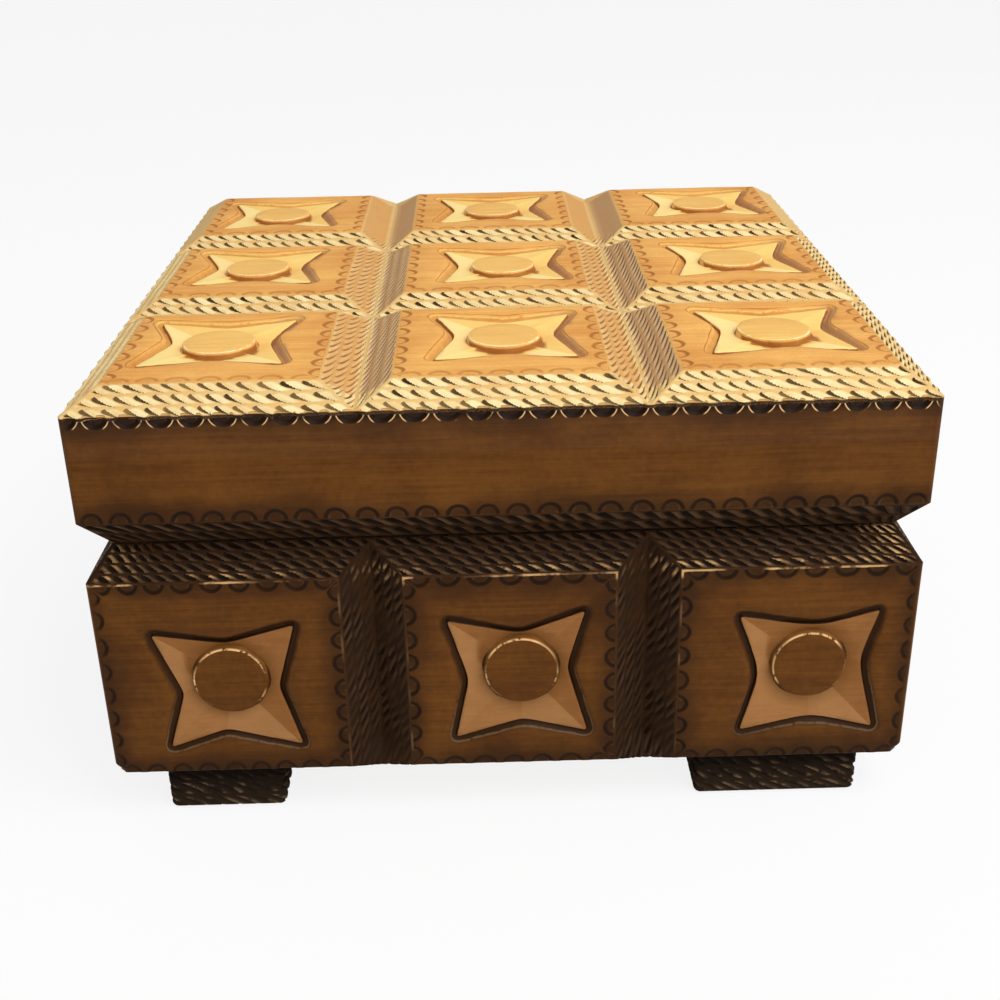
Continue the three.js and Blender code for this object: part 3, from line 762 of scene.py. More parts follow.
def carve_top(face, sizes):
    """Carves the lid top: eased V grooves and bevels, rope on every slope, scallops round the pads.
    The deeper of the two directions of grooves wins, which mitres them at the pads' corners."""
    p, q, known = face.p, face.q, face.known
    depth, half, seed = sizes.top_groove_depth, sizes.top_groove_half, sizes.seed
    from_column = p - LINES[np.abs(p[:, None] - LINES).argmin(1)]
    across, along = np.abs(from_column), np.abs(q[:, None] - LINES).min(1)
    base = np.maximum(valley(across, half, depth), valley(along, half, depth))
    nearest = np.minimum(across, along)
    from_edge = HALF - np.maximum(np.abs(p), np.abs(q))
    outer = from_edge < half
    out = (half - nearest) / half
    known["band"] = half - nearest
    mitre = ramp(np.abs(across - along), 0.25 * MM, 0.9 * MM)
    smooth_back = 1 - 0.9 * ramp(q, *SMOOTH_BACK)
    patchy = 0.75 + 0.25 * ramp(unevenness(p, q, [seed, 9], 1, 8 * MM, 30 * MM), -0.5, 0.1)
    in_row = along <= across
    cuts, rows_out = (sizes.row_pitch, sizes.row_lean), np.where(outer, 0.94 * out, out)
    face.lay_rope(in_row & (out > 0), rows_out, 3, cuts, mitre * patchy, seed + 10)
    cuts, strength = (sizes.column_pitch, sizes.column_lean), 0.7 * mitre * patchy * smooth_back
    face.lay_rope(~in_row & (out > 0), out, 3, cuts, strength, seed + 11, upright=True)
    # Which way a column groove's slope faces, for its painted light and shade.
    facing = -np.sign(from_column) * ramp(out, 0.0, 0.12) * (1 - ramp(out, 0.8, 1.0)) * ~outer
    known["facing"] = np.where(out > 0, facing * mitre * ~in_row, known["facing"])
    for left, right in zip(LINES[:-1] + half, LINES[1:] - half):
        for low, high in zip(LINES[:-1] + half, LINES[1:] - half):
            pad = (p > left) & (p < right) & (q > low) & (q < high)
            face.lay_pad(pad, sizes, left, right, low, high, (0.85, 0.85, 0.5))
    base -= 0.5 * MM * ramp(out, 0.7, 1.0) * ~outer
    planed = 0.08 * MM * (1 + unevenness(p, q, [seed, 12], 1))
    face.depth += base + planed * ramp(from_edge, 0.3 * MM, 3 * MM)
    face.depth += face.carve(sizes, sizes.scallop_depth, 0.3)


def pull_edges(flat, sizes):
    """The lid top's plan, drawn in where the bites and worn corners of the four sides are; the
    points up to GIVE from the edge give way evenly."""
    moved = flat.copy()
    for side in SIDES:
        x, from_edge = seen_from(flat, side)
        near = np.flatnonzero(from_edge < GIVE)
        level = np.full(len(near), top_edge(sizes))
        face, _ = lid_side(np.column_stack([x[near], level]), side, sizes)
        pull = face.depth * (1 - from_edge[near] / GIVE)
        inward = turned(np.array([[0, HALF + 1, 0]]), side)[0, :2]
        moved[near] += pull[:, None] * inward
    return moved


def edge_ring(flat, level, sizes):
    """Points round a strip of the lid at one height, with what they know. On the box's sides they
    follow the side's carving; on a joint between two strips they stay in its plane, lower down."""
    lowered = TOP_LOW[2] + 0.75 * (level - TOP_LOW[2])
    points = np.column_stack([flat, np.full(len(flat), lowered)])
    known = plain(len(flat))
    for side in SIDES:
        x, from_edge = seen_from(flat, side)
        on = np.flatnonzero(from_edge < 1e-6)
        face, end_depth = lid_side(np.column_stack([x[on], np.full(len(on), level)]), side, sizes)
        points[on] = turned(face.placed(end_depth), side)
        for name, values in face.known.items():
            known[name][on] = values
    return points, known


def build_top_strip(row, name, sizes, material):
    """One of the three glued strips of the lid's top panel, each with a row of pads: carved top, outer
    edge and plain underside, as one closed mesh. The joints run in the bottoms of the grooves."""
    half, shifts = sizes.top_groove_half, np.array(TOP_STAR_SHIFTS) * MM
    stops_x, holes_x, eights_x = pad_stops(LINES, half, shifts[:, :, 0].mean(0), TOP_PATCH[0])
    mean_y = shifts[row, :, 1].mean(keepdims=True)
    stops_y, holes_y, eights_y = pad_stops(LINES[row:row + 2], half, mean_y, TOP_PATCH[1])
    u = grid_lines(stops_x, sizes.top_step, eights_x)
    v = grid_lines(stops_y, sizes.top_step, eights_y)
    plan = Plan(u, v, [(*hole, *holes_y[0]) for hole in holes_x])
    rng = np.random.default_rng([sizes.seed, 21, row])
    for column, hole in enumerate(plan.holes):
        middle = np.array([LINES[column], LINES[row]]) + PITCH / 2 + shifts[row, column]
        plan.fill_star(hole, make_star(rng, sizes, middle, TOP_STAR, sizes.top_disc, TOP_LIGHT))
    flat = np.concatenate(plan.points)
    moved = pull_edges(flat, sizes)
    face = plan.face()
    face.p, face.q = moved[:, 0], moved[:, 1]
    carve_top(face, sizes)
    points, known = [np.column_stack([moved, TOP_Z - np.maximum(face.depth, 0)])], [face.known]
    ring, faces, first = plan.outer_loop(), list(plan.faces), plan.count
    around = flat[ring]
    inner = np.clip(around, -HALF + BARE_FROM, HALF - BARE_FROM)
    below = top_edge(sizes) - np.array([*grid_lines(EDGE_RINGS, sizes.top_step), LAST_RING])
    rings = [edge_ring(around, level, sizes) for level in (*below, UNDERSIDE)]
    rings.append((np.column_stack([inner, np.full(len(inner), UNDERSIDE)]), plain(len(inner))))
    rings[-1][1]["bare"][:] = 1
    for ring_points, ring_known in rings:
        points.append(ring_points)
        known.append(ring_known)
        lower = first + np.arange(len(ring))
        faces.append(np.column_stack([ring, lower, np.roll(lower, -1), np.roll(ring, -1)]))
        ring, first = lower, first + len(ring)
    faces.append(ring[::-1][None, :])
    known = {key: np.concatenate([part[key] for part in known]) for key in PLAIN}
    piece = make_piece(f"carved_top_{name}_strip", np.concatenate(points), faces, known)
    finish_piece(piece, "lid", "lid_top_panel", material)


def finish_side(plan, face, end_depth, back_path, side, body, kind, material):
    """Cuts the hinges' recesses into the back, closes the rail or wall behind its carved face and
    stands it in for its CAD node. The path's (depth, height, bare) run from the face's top edge round
    the back to its bottom edge, once for each column of the grid, and the two ends are capped."""
    if side == "back":
        seam_side = 1 if body == "lid" else -1
        face.depth = np.maximum(face.depth, hinge_recess(face.p, face.q, seam_side))
    outer = face.placed(end_depth)
    g = plan.grid
    columns, rows = len(plan.u), len(back_path)
    back = len(outer) + np.arange(rows * columns).reshape(rows, columns)
    faces = list(plan.faces)
    ladder = [g[:, -1], *back, g[:, 0]]
    for lower, upper in zip(ladder, ladder[1:]):
        faces.append(np.column_stack([lower[:-1], lower[1:], upper[1:], upper[:-1]]))
    path = np.repeat(np.array(back_path), columns, axis=0)
    p = np.tile(plan.u, rows)
    points = np.concatenate([outer, np.column_stack([p + mitre_shift(p, path[:, 0]), path[:, :2]])])
    faces.append(np.concatenate([g[-1, :], back[:, -1]])[None, :])
    faces.append(np.concatenate([g[0, :], back[:, 0]])[::-1][None, :])
    known = {name: np.concatenate([face.known[name], more]) for name, more in plain(len(p)).items()}
    known["bare"][len(outer):] = path[:, 2]
    node = f"{body}_{side}_{kind}"
    piece = make_piece(f"carved_{node}", turned(points, side), faces, known)
    finish_piece(piece, body, node, material)


def hinge_recess(p, z, seam_side):
    """Depth behind the face to which a hinge's recess cuts the back, or 0: the leaf's mortise near the
    seam and the round space for the knuckles. seam_side is 1 over the seam and -1 under it."""
    leaf_inner = HALF - LEAF_LOW[1] + LEAF_ROOM
    leaf_end = SEAM_GAP / 2 + LEAF_END
    axis_depth = HALF - HINGE[1]
    barrel = LEAF_HIGH[2] - HINGE[2] + 0.3 * MM
    from_seam = (z - HINGE[2]) * seam_side
    deep = np.zeros_like(p)
    for middle in (-LEAF_MIDDLE, LEAF_MIDDLE):
        beside = np.abs(p - middle)
        in_leaf = (beside < LEAF_HALF + LEAF_ROOM) & (from_seam < leaf_end)
        deep = np.where(in_leaf, np.maximum(deep, leaf_inner), deep)
        round_part = np.sqrt(np.clip(barrel**2 - from_seam**2, 0, None))
        in_barrel = (beside < LEAF_HALF + BARREL_ROOM) & (from_seam < barrel)
        deep = np.where(in_barrel, np.maximum(deep, axis_depth + round_part), deep)
    return deep


def hinge_stops():
    """Grid stops either side of the ends of the hinges' recesses, so that their ends are upright."""
    ends = [middle + end * (LEAF_HALF + room) for middle in (-LEAF_MIDDLE, LEAF_MIDDLE)
            for end in (-1, 1) for room in (LEAF_ROOM, BARREL_ROOM)]
    return [end + side * 0.02 * MM for end in ends for side in (-1, 1)]


def build_lid_rail(side, sizes, material):
    """One mitred rail of the lid, bevelled and gouged at the seam."""
    low, high = RAIL_LOW[2], RAIL_HIGH[2] + GLUE_LINE
    bevel_top = lid_bevel(sizes)
    stops_p, stops_z = [-HALF, HALF], [low, bevel_top, bevel_top + 3 * MM]
    if side == "back":
        stops_p = sorted(stops_p + hinge_stops())
        stops_z = sorted(stops_z + [low + step for step in LEAF_STEP])
    fine = grid_lines(stops_z, 0.8 * sizes.side_step)
    coarse = np.linspace(stops_z[-1], high, 5)[1:]
    plan = Plan(grid_lines(stops_p, sizes.side_step), np.concatenate([fine, coarse]))
    face, end_depth = lid_side(plan.points[0], side, sizes)
    thick = WALL_THICKNESS
    back_path = [(thick, high, 1), (thick, low + EASE, 1), (thick - EASE, low, 0)]
    finish_side(plan, face, end_depth, back_path, side, "lid", "rail", material)


# Body


def wall_lines(sizes):
    """Ends of the wall and the bottoms of its grooves between them."""
    return np.array([-HALF, *(-HALF + PITCH * np.arange(1, PADS) + sizes.wall_groove_shift), HALF])


def wall_pads(sizes):
    """Start and end of each pad along a wall. The outer pads reach the corners."""
    lines, half = wall_lines(sizes), sizes.wall_groove_half
    first, last = np.arange(PADS) == 0, np.arange(PADS) == PADS - 1
    return list(zip(lines[:-1] + half * ~first, lines[1:] - half * ~last))


def carve_wall(face, side, sizes):
    """Carves a body wall, with q the height: bevel under the seam, V grooves between the pads, rope
    on all of them, scallops round the pads. Returns the depth at the ends, for the mitre."""
    p, q, known = face.p, face.q, face.known
    number, seed = SIDES.index(side), sizes.seed
    foot, bevel_foot, half = WALL_LOW[2], wall_bevel(sizes), sizes.wall_groove_half
    out = (q - bevel_foot) / sizes.bevel_height
    inset = np.clip(out, 0, 1) * sizes.bevel_inset
    end_depth, corner = corner_wear(p, inset, sizes.corner_radius)
    from_end = HALF - np.abs(p)
    calm = ramp(from_end, 0.3 * MM, 1.5 * MM)
    nearest = np.abs(p[:, None] - wall_lines(sizes)[1:-1]).min(1)
    run_out = 0.12 + 0.88 * ramp(q - foot, 0, sizes.run_out)
    groove = valley(nearest, half, sizes.wall_groove_depth) * run_out
    in_bevel = inset > groove
    known["band"] = np.maximum(q - bevel_foot, half - nearest)
    both = np.minimum(q - bevel_foot, half - nearest) > 0.3 * MM
    mitre = np.where(both, ramp(np.abs(inset - groove), 0.15 * MM, 0.6 * MM), 1) * calm
    cuts = (sizes.seam_pitch, sizes.seam_lean)
    face.lay_rope((out > 0) & in_bevel, out, 4, cuts, mitre, seed + 20 + number)
    rough = 0.15 + 0.35 * ramp(unevenness(p, q, [number, 7], 1, 4 * MM, 14 * MM), -0.3, 0.3)
    cuts, out = (sizes.groove_pitch, sizes.groove_lean), (half - nearest) / half
    in_groove = (out > 0) & ~in_bevel
    face.lay_rope(in_groove, out, 3, cuts, mitre * rough, seed + 30 + number, upright=True)
    strengths = (0.9 * calm, 0.9 * calm, 0.75 * calm, 0.9 * calm)
    for start, end in wall_pads(sizes):
        pad = (p > start) & (p < end) & (q < bevel_foot)
        face.lay_pad(pad, sizes, start, end, foot, bevel_foot, strengths)
    # The mask of wear, which also carries painted highlights: a line along the bevel's foot, the
    # bevel's ends, the right-hand end more, and specks beside the grooves.
    along_bevel = 1 - ramp(np.abs(q - bevel_foot), 0.8 * MM, 2 * MM)
    along_bevel *= ramp(unevenness(p, 0 * q, [number, 5], 1, 7 * MM, 30 * MM), -0.35, 0.05)
    ends = (0.7 + 0.3 * np.sign(p)) * ramp(np.abs(p), *WEAR_AND_HIGHLIGHT_ENDS)
    ends *= ramp(q, bevel_foot, bevel_foot + MM)
    beside = 0.12 * ramp(unevenness(p, q, [number, 6], 1, 5 * MM), 0.1, 0.5)
    beside *= (q < bevel_foot) & (nearest > half - 0.3 * MM)
    known["wear_and_highlight"] = np.maximum(np.maximum(along_bevel, ends), beside)
    blunt = 0.9 * MM * ramp(-np.hypot(from_end, q - foot), -2.4 * MM, 0)
    rounding = np.maximum(fillet(q - foot, sizes.bottom_radius), blunt)
    planed = 0.06 * MM * (1 + unevenness(p, q, [seed, number, 32], 1))
    carved = (face.depth + planed + face.carve(sizes, sizes.scallop_depth, 0.3)) * calm
    face.depth = np.maximum(inset, groove) + corner + rounding + carved
    return end_depth + rounding


def build_body_wall(side, sizes, material):
    """One mitred wall of the body: carved outside, plain inside, with the step for the bottom."""
    foot, rim, bevel_foot = WALL_LOW[2], WALL_HIGH[2], wall_bevel(sizes)
    pads = wall_pads(sizes)
    stars = [
        ((start + end) / 2 + along * MM, (foot + bevel_foot) / 2 + up * MM)
        for (start, end), (along, up) in zip(pads, WALL_STAR_SHIFTS)
    ]
    middle_z = float(np.mean([z for _, z in stars]))
    holes = [(x - WALL_PATCH, x + WALL_PATCH) for x, _ in stars]
    stops_p = [-HALF, *wall_lines(sizes)[1:-1], HALF]
    stops_p += [edge for pad in pads for edge in pad if abs(edge) < HALF - MM]
    stops_p += [edge for ends in holes for edge in ends]
    stops_z = [foot, middle_z - WALL_PATCH, middle_z + WALL_PATCH, bevel_foot, rim]
    if side == "back":
        stops_p += [stop for stop in hinge_stops() if not any(a < stop < b for a, b in holes)]
        stops_z = sorted(stops_z + [rim - step for step in LEAF_STEP])
    stops_p = sorted(stops_p)
    widths = np.diff(stops_p)
    u = grid_lines(stops_p, sizes.side_step, np.flatnonzero(widths > 2 * WALL_PATCH - 1e-6))
    v = grid_lines(stops_z, 0.95 * sizes.side_step, [1])
    plan = Plan(u, v, [(a, b, middle_z - WALL_PATCH, middle_z + WALL_PATCH) for a, b in holes])
    rng = np.random.default_rng([sizes.seed, SIDES.index(side), 33])
    shapes = FRONT_STARS if side == "front" else (WALL_STAR,) * PADS
    for hole, middle, shape in zip(plan.holes, stars, shapes):
        plan.fill_star(hole, make_star(rng, sizes, middle, shape, sizes.wall_disc, WALL_LIGHT))
    face = plan.face()
    end_depth = carve_wall(face, side, sizes)
    panel_high = span("bottom_panel")[1]
    step_in, step_up = HALF - panel_high[0] - PANEL_ROOM, panel_high[2] + PANEL_ROOM
    thick = WALL_THICKNESS
    back_path = [
        (thick - EASE, rim, 0), (thick, rim - EASE, 1), (thick, step_up, 1), (step_in, step_up, 1),
        (step_in, foot, 0),
    ]
    finish_side(plan, face, end_depth, back_path, side, "body", "wall", material)


def build_foot(node, number, sizes, material):
    """A block foot whose edges are rounded by wear: rings of its outline, drawn in where the edges are
    rounded and gouged with rope on all four sides. The top and bottom are closed."""
    low, high = span(node)
    size, middle = high - low, (low + high) / 2
    radius = sizes.foot_radius
    x, y = size[0] / 2 - radius, size[1] / 2 - radius
    corners = [(x, y, 0), (-x, y, 90), (-x, -y, 180), (x, -y, 270)]
    outline, normals = [], []
    for (cx, cy, start), (nx, ny, _) in zip(corners, corners[1:] + corners[:1]):
        angles = np.radians(start + np.linspace(0, 90, 7))
        normal = np.column_stack([np.cos(angles), np.sin(angles)])
        arc = np.array([cx, cy]) + radius * normal
        count = max(2, int(math.hypot(nx - cx, ny - cy) / sizes.side_step))
        share = (np.arange(1, count) / count)[:, None]
        straight = arc[-1] + (np.array([nx, ny]) + radius * normal[-1] - arc[-1]) * share
        outline += [arc, straight]
        normals += [normal, np.repeat(normal[-1:], count - 1, axis=0)]
    outline, normals = np.concatenate(outline), np.concatenate(normals)
    gaps = np.linalg.norm(np.roll(outline, -1, axis=0) - outline, axis=1)
    travel = np.concatenate([[0], np.cumsum(gaps)[:-1]])
    rows = np.linspace(0, size[2], int(size[2] / (0.9 * sizes.side_step)) + 1)
    uu, vv = np.meshgrid(travel, rows, indexing="ij")
    face = Face(np.column_stack([uu.ravel(), vv.ravel()]))
    face.known["band"][:] = FAR
    everywhere = np.ones(len(face.p), bool)
    cuts = (gaps.sum() / round(gaps.sum() / sizes.row_pitch), sizes.row_lean)
    strength = ramp(np.minimum(face.p, gaps.sum() - gaps[-1] - face.p), 0, MM)
    face.lay_rope(everywhere, 1 - face.q / size[2], 3, cuts, strength, sizes.seed + 40 + number)
    depth = (face.carve(sizes, 0, 1) + fillet(face.q, radius)).reshape(uu.shape)
    plan_xy = outline[:, None, :] - normals[:, None, :] * depth[:, :, None]
    points = np.dstack([plan_xy + middle[:2], low[2] + vv]).reshape(-1, 3)
    index = np.arange(uu.size).reshape(uu.shape)
    nxt = np.roll(index, -1, axis=0)
    quads = np.stack([index[:, :-1], nxt[:, :-1], nxt[:, 1:], index[:, 1:]], -1).reshape(-1, 4)
    faces = [quads, index[::-1, 0][None, :], index[:, -1][None, :]]
    piece = make_piece(f"gouged_{node}", points, faces, face.known)
    finish_piece(piece, "body", node, material)


# Materials


def node_operator(operation, swapped=False):
    """A method of Value that adds a Math node for the value and another term."""

    def method(self, other):
        return maths(operation, other, self) if swapped else maths(operation, self, other)

    return method


class Value:
    """A node's output that can be used in sums: each operation adds a Math node."""

    def __init__(self, finish, socket):
        self.finish, self.socket = finish, socket

    __add__ = __radd__ = node_operator("ADD")
    __mul__ = __rmul__ = node_operator("MULTIPLY")
    __sub__, __rsub__ = node_operator("SUBTRACT"), node_operator("SUBTRACT", swapped=True)
    __truediv__, __rtruediv__ = node_operator("DIVIDE"), node_operator("DIVIDE", swapped=True)


class Finish:
    """A material's node tree, with one method that adds any node."""

    def __init__(self, name):
        self.material = bpy.data.materials.new(name)
        self.material.use_nodes = True
        self.nodes = self.material.node_tree.nodes
        self.links = self.material.node_tree.links
        self.surface = self.nodes["Principled BSDF"]
        self.place = self.node("ShaderNodeTexCoord", {}, {}, "Object")

    def set_socket(self, socket, value):
        """Links a socket to a value, or sets it to a number or a colour."""
        if isinstance(value, Value):
            self.links.new(value.socket, socket)
        elif isinstance(value, tuple) and socket.type == "RGBA":
            socket.default_value = (*value, 1.0)
        else:
            socket.default_value = value

    def node(self, kind, settings, sockets, output=None):
        """Adds a node of a kind, makes its settings and feeds its sockets, named or numbered, with
        values or other outputs. Returns its first enabled output, or the one that is named."""
        node = self.nodes.new(kind)
        for name, value in settings.items():
            setattr(node, name, value)
        for key, value in sockets.items():
            if isinstance(key, int):
                socket = node.inputs[key]
            else:
                socket = next(s for s in node.inputs if s.name == key and s.enabled)
            self.set_socket(socket, value)
        enabled = [s for s in node.outputs if s.enabled]
        chosen = enabled[0] if output is None else next(s for s in enabled if s.name == output)
        return Value(self, chosen)

    def mix(self, factor, first, second):
        """From the first colour to the second as the factor goes from 0 to 1."""
        sockets = {"Factor": factor, "A": first, "B": second}
        return self.node("ShaderNodeMix", {"data_type": "RGBA"}, sockets)

    def mask(self, name):
        """A float attribute of the mesh."""
        return self.node("ShaderNodeAttribute", {"attribute_name": name}, {}, "Fac")

    def chance(self, first, second):
        """A random number between 0 and 1 for each pair of whole numbers."""
        pair = self.node("ShaderNodeCombineXYZ", {}, {"X": first, "Y": second})
        settings = {"noise_dimensions": "2D"}
        return self.node("ShaderNodeTexWhiteNoise", settings, {"Vector": pair}, "Value")

    def noise(self, scale, detail=4.0):
        """Noise between about 0.2 and 0.8 in object coordinates, with a scale for each axis or one
        for all."""
        scale = scale if isinstance(scale, tuple) else (scale,) * 3
        stretched = self.node("ShaderNodeMapping", {}, {"Vector": self.place, "Scale": scale})
        sockets = {"Vector": stretched, "Scale": 1.0, "Detail": detail, "Roughness": 0.6}
        return self.node("ShaderNodeTexNoise", {}, sockets, "Fac")

    def feed(self, **sockets):
        """Feeds the surface's sockets, named with _ for a space."""
        for name, value in sockets.items():
            self.set_socket(self.surface.inputs[name.replace("_", " ")], value)

    def bump(self, height, distance, strength=1.0):
        """Gives the surface a relief of a height from 0 to 1 times a distance."""
        sockets = {"Height": height, "Distance": distance, "Strength": strength}
        self.feed(Normal=self.node("ShaderNodeBump", {}, sockets))


TONES = ("ground", "ground_dark", "star", "ridge", "band", "cut", "edge")
SHARED_TONES = ("wear_and_highlight", "lip", "bare")


def tones(colours, part):
    """The colours of the wood of the top or of the sides, by name."""
    fields = {name: f"{part}_{name}" for name in TONES} | {name: name for name in SHARED_TONES}
    return {name: tuple(getattr(colours, field)) for name, field in fields.items()}


def darker(colour, share):
    """A colour at a share of its light."""
    return tuple(share * channel for channel in colour)


def grain(axis, along, across):
    """Scales of a noise that is stretched along X or Y."""
    return (along, across, across) if axis == "X" else (across, along, across)


def window(x, low, high, soft):
    """1 from low to high, with soft ends."""
    return ramp(x, low, low + soft) * (1 - ramp(x, high - soft, high))


class CarvedWood(Finish):
    """Stain on carved wood, with painted light and shade, laid on in layers: pairs of how far a layer
    covers and its colour. The tones are the wood's colours by name. on_top is 1 on the lid's top, where
    the stain is thin and the outlines are faint, and below is what is left of 1."""

    def __init__(self, name, axis, sizes):
        super().__init__(name)
        self.sizes = sizes
        self.fine = self.noise(grain(axis, 60.0, 1500.0), 3.0)
        self.streak = self.noise(grain(axis, 16.0, 220.0), 5.0)
        self.patch = self.noise(55.0, 3.0)
        self.rough = self.noise(900.0, 2.0)
        self.mottle = self.noise(260.0, 3.0)
        self.wear = ramp(self.mottle, 0.3, 0.62) * 0.35 + 0.65
        self.height = self.node("ShaderNodeSeparateXYZ", {}, {"Vector": self.place}, "Z")
        self.inside, self.band, self.wear_and_highlight = (self.mask(name) for name in ("inside", "band", "wear_and_highlight"))

    def ground_layers(self, tone, on_top, below):
        """The ground is darker near its edges, towards the foot of the walls and in specks."""
        near_edge = 1 - ramp(self.inside + (self.patch - 0.5) * 8 * MM, 0.5 * MM, 6 * MM)
        foot = WALL_LOW[2]
        low = 1 - ramp(self.height + (self.patch - 0.5) * 6 * MM, foot, foot + 11 * MM)
        specks = ramp(self.rough, 0.5, 0.62) * on_top * 0.14
        covers = (near_edge * (0.55 * below + 0.1), low * 0.35, specks)
        return [(cover, tone["edge"]) for cover in covers]

    def rope_layers(self, tone, below):
        """Bands take their own colour. Their strands carry a painted highlight, which gives way to
        painted shade deep in the band, and along edges that wear they are rubbed light, wear and
        painted highlight at once; the cuts are darkest, with stain and painted shade. Also the cuts'
        depth and where the bands are."""
        row, strand, band = self.mask("row"), self.mask("strand"), self.band
        q, room, cut = rope(strand, row)
        in_band = ramp(band, -0.1 * MM, 0.4 * MM)
        strength = self.mask("rope") * in_band
        number = maths("FLOOR", row)
        luck = self.chance(maths("FLOOR", strand + 0.42 * number), number)
        # The cuts' dark: stain held in them and painted shade on their steep walls.
        dark = ramp(cut, 0.02, 0.3) * ramp(strength, 0.0, 0.7) * (0.8 + 0.2 * luck)
        # A painted highlight on the strands' crests.
        ridge = ramp(q, 0.4, 0.75) * ramp(room, 0.05, 0.5) * strength
        # Painted shade deep in a band: towards the seam on the bevels, towards the bottoms of the
        # walls' grooves.
        deep = ramp(band, 0.5 * MM, 6 * MM) * below
        # Rubbed strands where the wood wears, lighter from wear and from a painted highlight at once.
        rubbed = ridge * self.wear_and_highlight * ramp(band, 0.4 * MM, 1.0 * MM) * ramp(self.mottle, 0.35, 0.55)
        layers = [
            (in_band * self.wear, tone["band"]),
            (ridge * self.wear * (0.55 + 0.45 * luck) * (1 - 0.6 * deep), tone["ridge"]),
            (rubbed * 0.8, tone["wear_and_highlight"]),
            (dark * (0.6 + 0.4 * self.wear), tone["cut"]),
        ]
        return layers, cut * strength, in_band

    def scallop_layers(self, tone, on_top, below):
        """Scallops show as dark arcs with a painted glint on either side; the bites along the lid's top
        edge are darker, with dark wood between them and painted highlights on their ends."""
        sizes, inside, edging = self.sizes, self.inside, self.mask("edging")
        pitch, radius = sizes.scallop_pitch, sizes.scallop_radius
        beyond, floor, f = scallop(self.mask("along"), inside, pitch, radius)
        side_on = maths("ABSOLUTE", f)
        bite = window(self.height, BITES_FROM, top_edge(sizes), 0.1 * MM)
        crown = bite * edging * (1 - ramp(inside, 0.8 * MM, 2.0 * MM))
        wall = window(beyond, -0.75 * MM, 0.3 * MM, 0.35 * MM) * edging
        # A painted glint inside the arc, on either side.
        glint = window(beyond, -1.1 * MM, -0.6 * MM, 0.2 * MM) * edging * ramp(side_on, 0.2, 0.7)
        # Painted highlights on the bites' ends.
        end_highlight = window(beyond, 0.12 * MM, 0.42 * MM, 0.12 * MM) * bite * edging
        return [
            (crown * 0.85, self.mix(0.5, tone["edge"], tone["cut"])),
            (floor * edging * (0.4 * below + 0.1 + 0.45 * bite), tone["edge"]),
            (wall * (0.45 + 0.5 * self.wear), self.mix(below * 0.8, tone["edge"], tone["cut"])),
            (glint * ramp(self.rough, 0.42, 0.6) * (0.5 + 0.2 * on_top), tone["ridge"]),
            (end_highlight * ramp(side_on, 0.5, 0.75) * ramp(self.mottle, 0.33, 0.48), tone["wear_and_highlight"]),
        ]

    def star_layers(self, tone, on_top, below):
        """Stars are paler, with painted light and shade on each facet by the way it faces and painted
        shade round the disc's foot, and on the lid a painted shadow under the disc's rim; their discs
        keep the ground's colour. The cut round them is dark with stain and painted shade and has a
        painted highlight on its lip; the disc's rim has a painted highlight towards the light and a
        painted shadow at its foot on the other side. Distances are in mm here."""
        star, disc, rim = self.mask("star") / MM, self.mask("disc") / MM, self.mask("rim")
        fold, mottle, rough = self.mask("fold"), self.mottle, self.rough
        ragged = 0.5 * (mottle - 0.5)
        # The colour of the painted highlights: that of rubbed edges on the walls, the ridge colour on
        # the lid.
        bright = self.mix(on_top, tone["wear_and_highlight"], tone["ridge"])
        figured = ramp(self.fine * 0.5 + mottle * 0.5, 0.4, 0.62) * 0.25
        # Painted shade round the disc's foot, painted light and shade on each facet by the way it
        # faces, and on the lid a painted shadow under the disc's rim.
        facets = self.cover(tone["star"], [
            (ramp(disc + 4 * (self.patch - 0.5), -3.6, -0.3) * 0.45, tone["ground"]),
            (figured, tone["ground"]),
            (ramp(fold, 0.0, 0.9) * (0.13 + 0.27 * on_top), bright),
            (ramp(0 - fold, 0.0, 0.9) * (0.36 + 0.2 * on_top), tone["ground"]),
            (ramp(0 - fold, 0.9, 2.4) * on_top * 0.9, tone["edge"]),
        ])
        on_star = ramp(star + 0.4 * ragged, -0.08, 0.08) * (1 - ramp(disc, -0.12, -0.04))
        # The cut round the star, dark with stain and painted shade.
        ditch = ramp(star + 2 * ragged, -1.9, -0.9) * (1 - ramp(star, -0.05, 0.05))
        line = self.mix(below * 0.2 + 0.3, tone["edge"], tone["cut"])
        # A painted highlight on the cut's far wall, on the side that catches the light.
        lip = window(star + ragged, -1.5, -1.05, 0.2) * rim * ramp(rough, 0.25, 0.5)
        # A painted shadow at the disc's foot, on the side away from the light.
        foot = window(disc + ragged, -0.6, -0.02, 0.2) * (1 - rim)
        # A painted highlight on the disc's rim, on the side that catches the light.
        edge = window(disc - 0.1 * on_top, -0.1, 0.36, 0.13) * rim * ramp(rough, 0.35, 0.5)
        return [
            (ramp(disc, -0.04, 0.1) * on_top * 0.3, tone["star"]),
            (on_star, facets),
            (ditch * (0.85 * below + 0.3 * on_top), tone["edge"]),
            (window(star + ragged, -0.45, 0.05, 0.15) * 0.9, line),
            (window(star + ragged, -2.0, -1.65, 0.14) * on_top * self.wear * 0.7, line),
            (lip * (0.8 - 0.3 * on_top), self.mix(on_top, tone["lip"], tone["star"])),
            (foot * 0.85, tone["edge"]),
            (edge, bright),
        ]

    def cover(self, colour, layers):
        """A colour under layers."""
        for factor, paint in layers:
            colour = self.mix(factor, colour, paint)
        return colour

    def stain(self, tone, on_top):
        """The colour under all layers in order, the light line along edges that wear, which is wear and
        painted highlight at once, and the bare wood inside last, and where the rope's bands are. The
        grain and the cuts also go into the bump."""
        below = 1 - on_top
        grained = self.fine * 0.5 + self.streak * 0.35 + self.patch * 0.55 + self.rough * 0.3
        figure = ramp(grained, 0.6, 1.1)
        rope_layers, cut, in_band = self.rope_layers(tone, below)
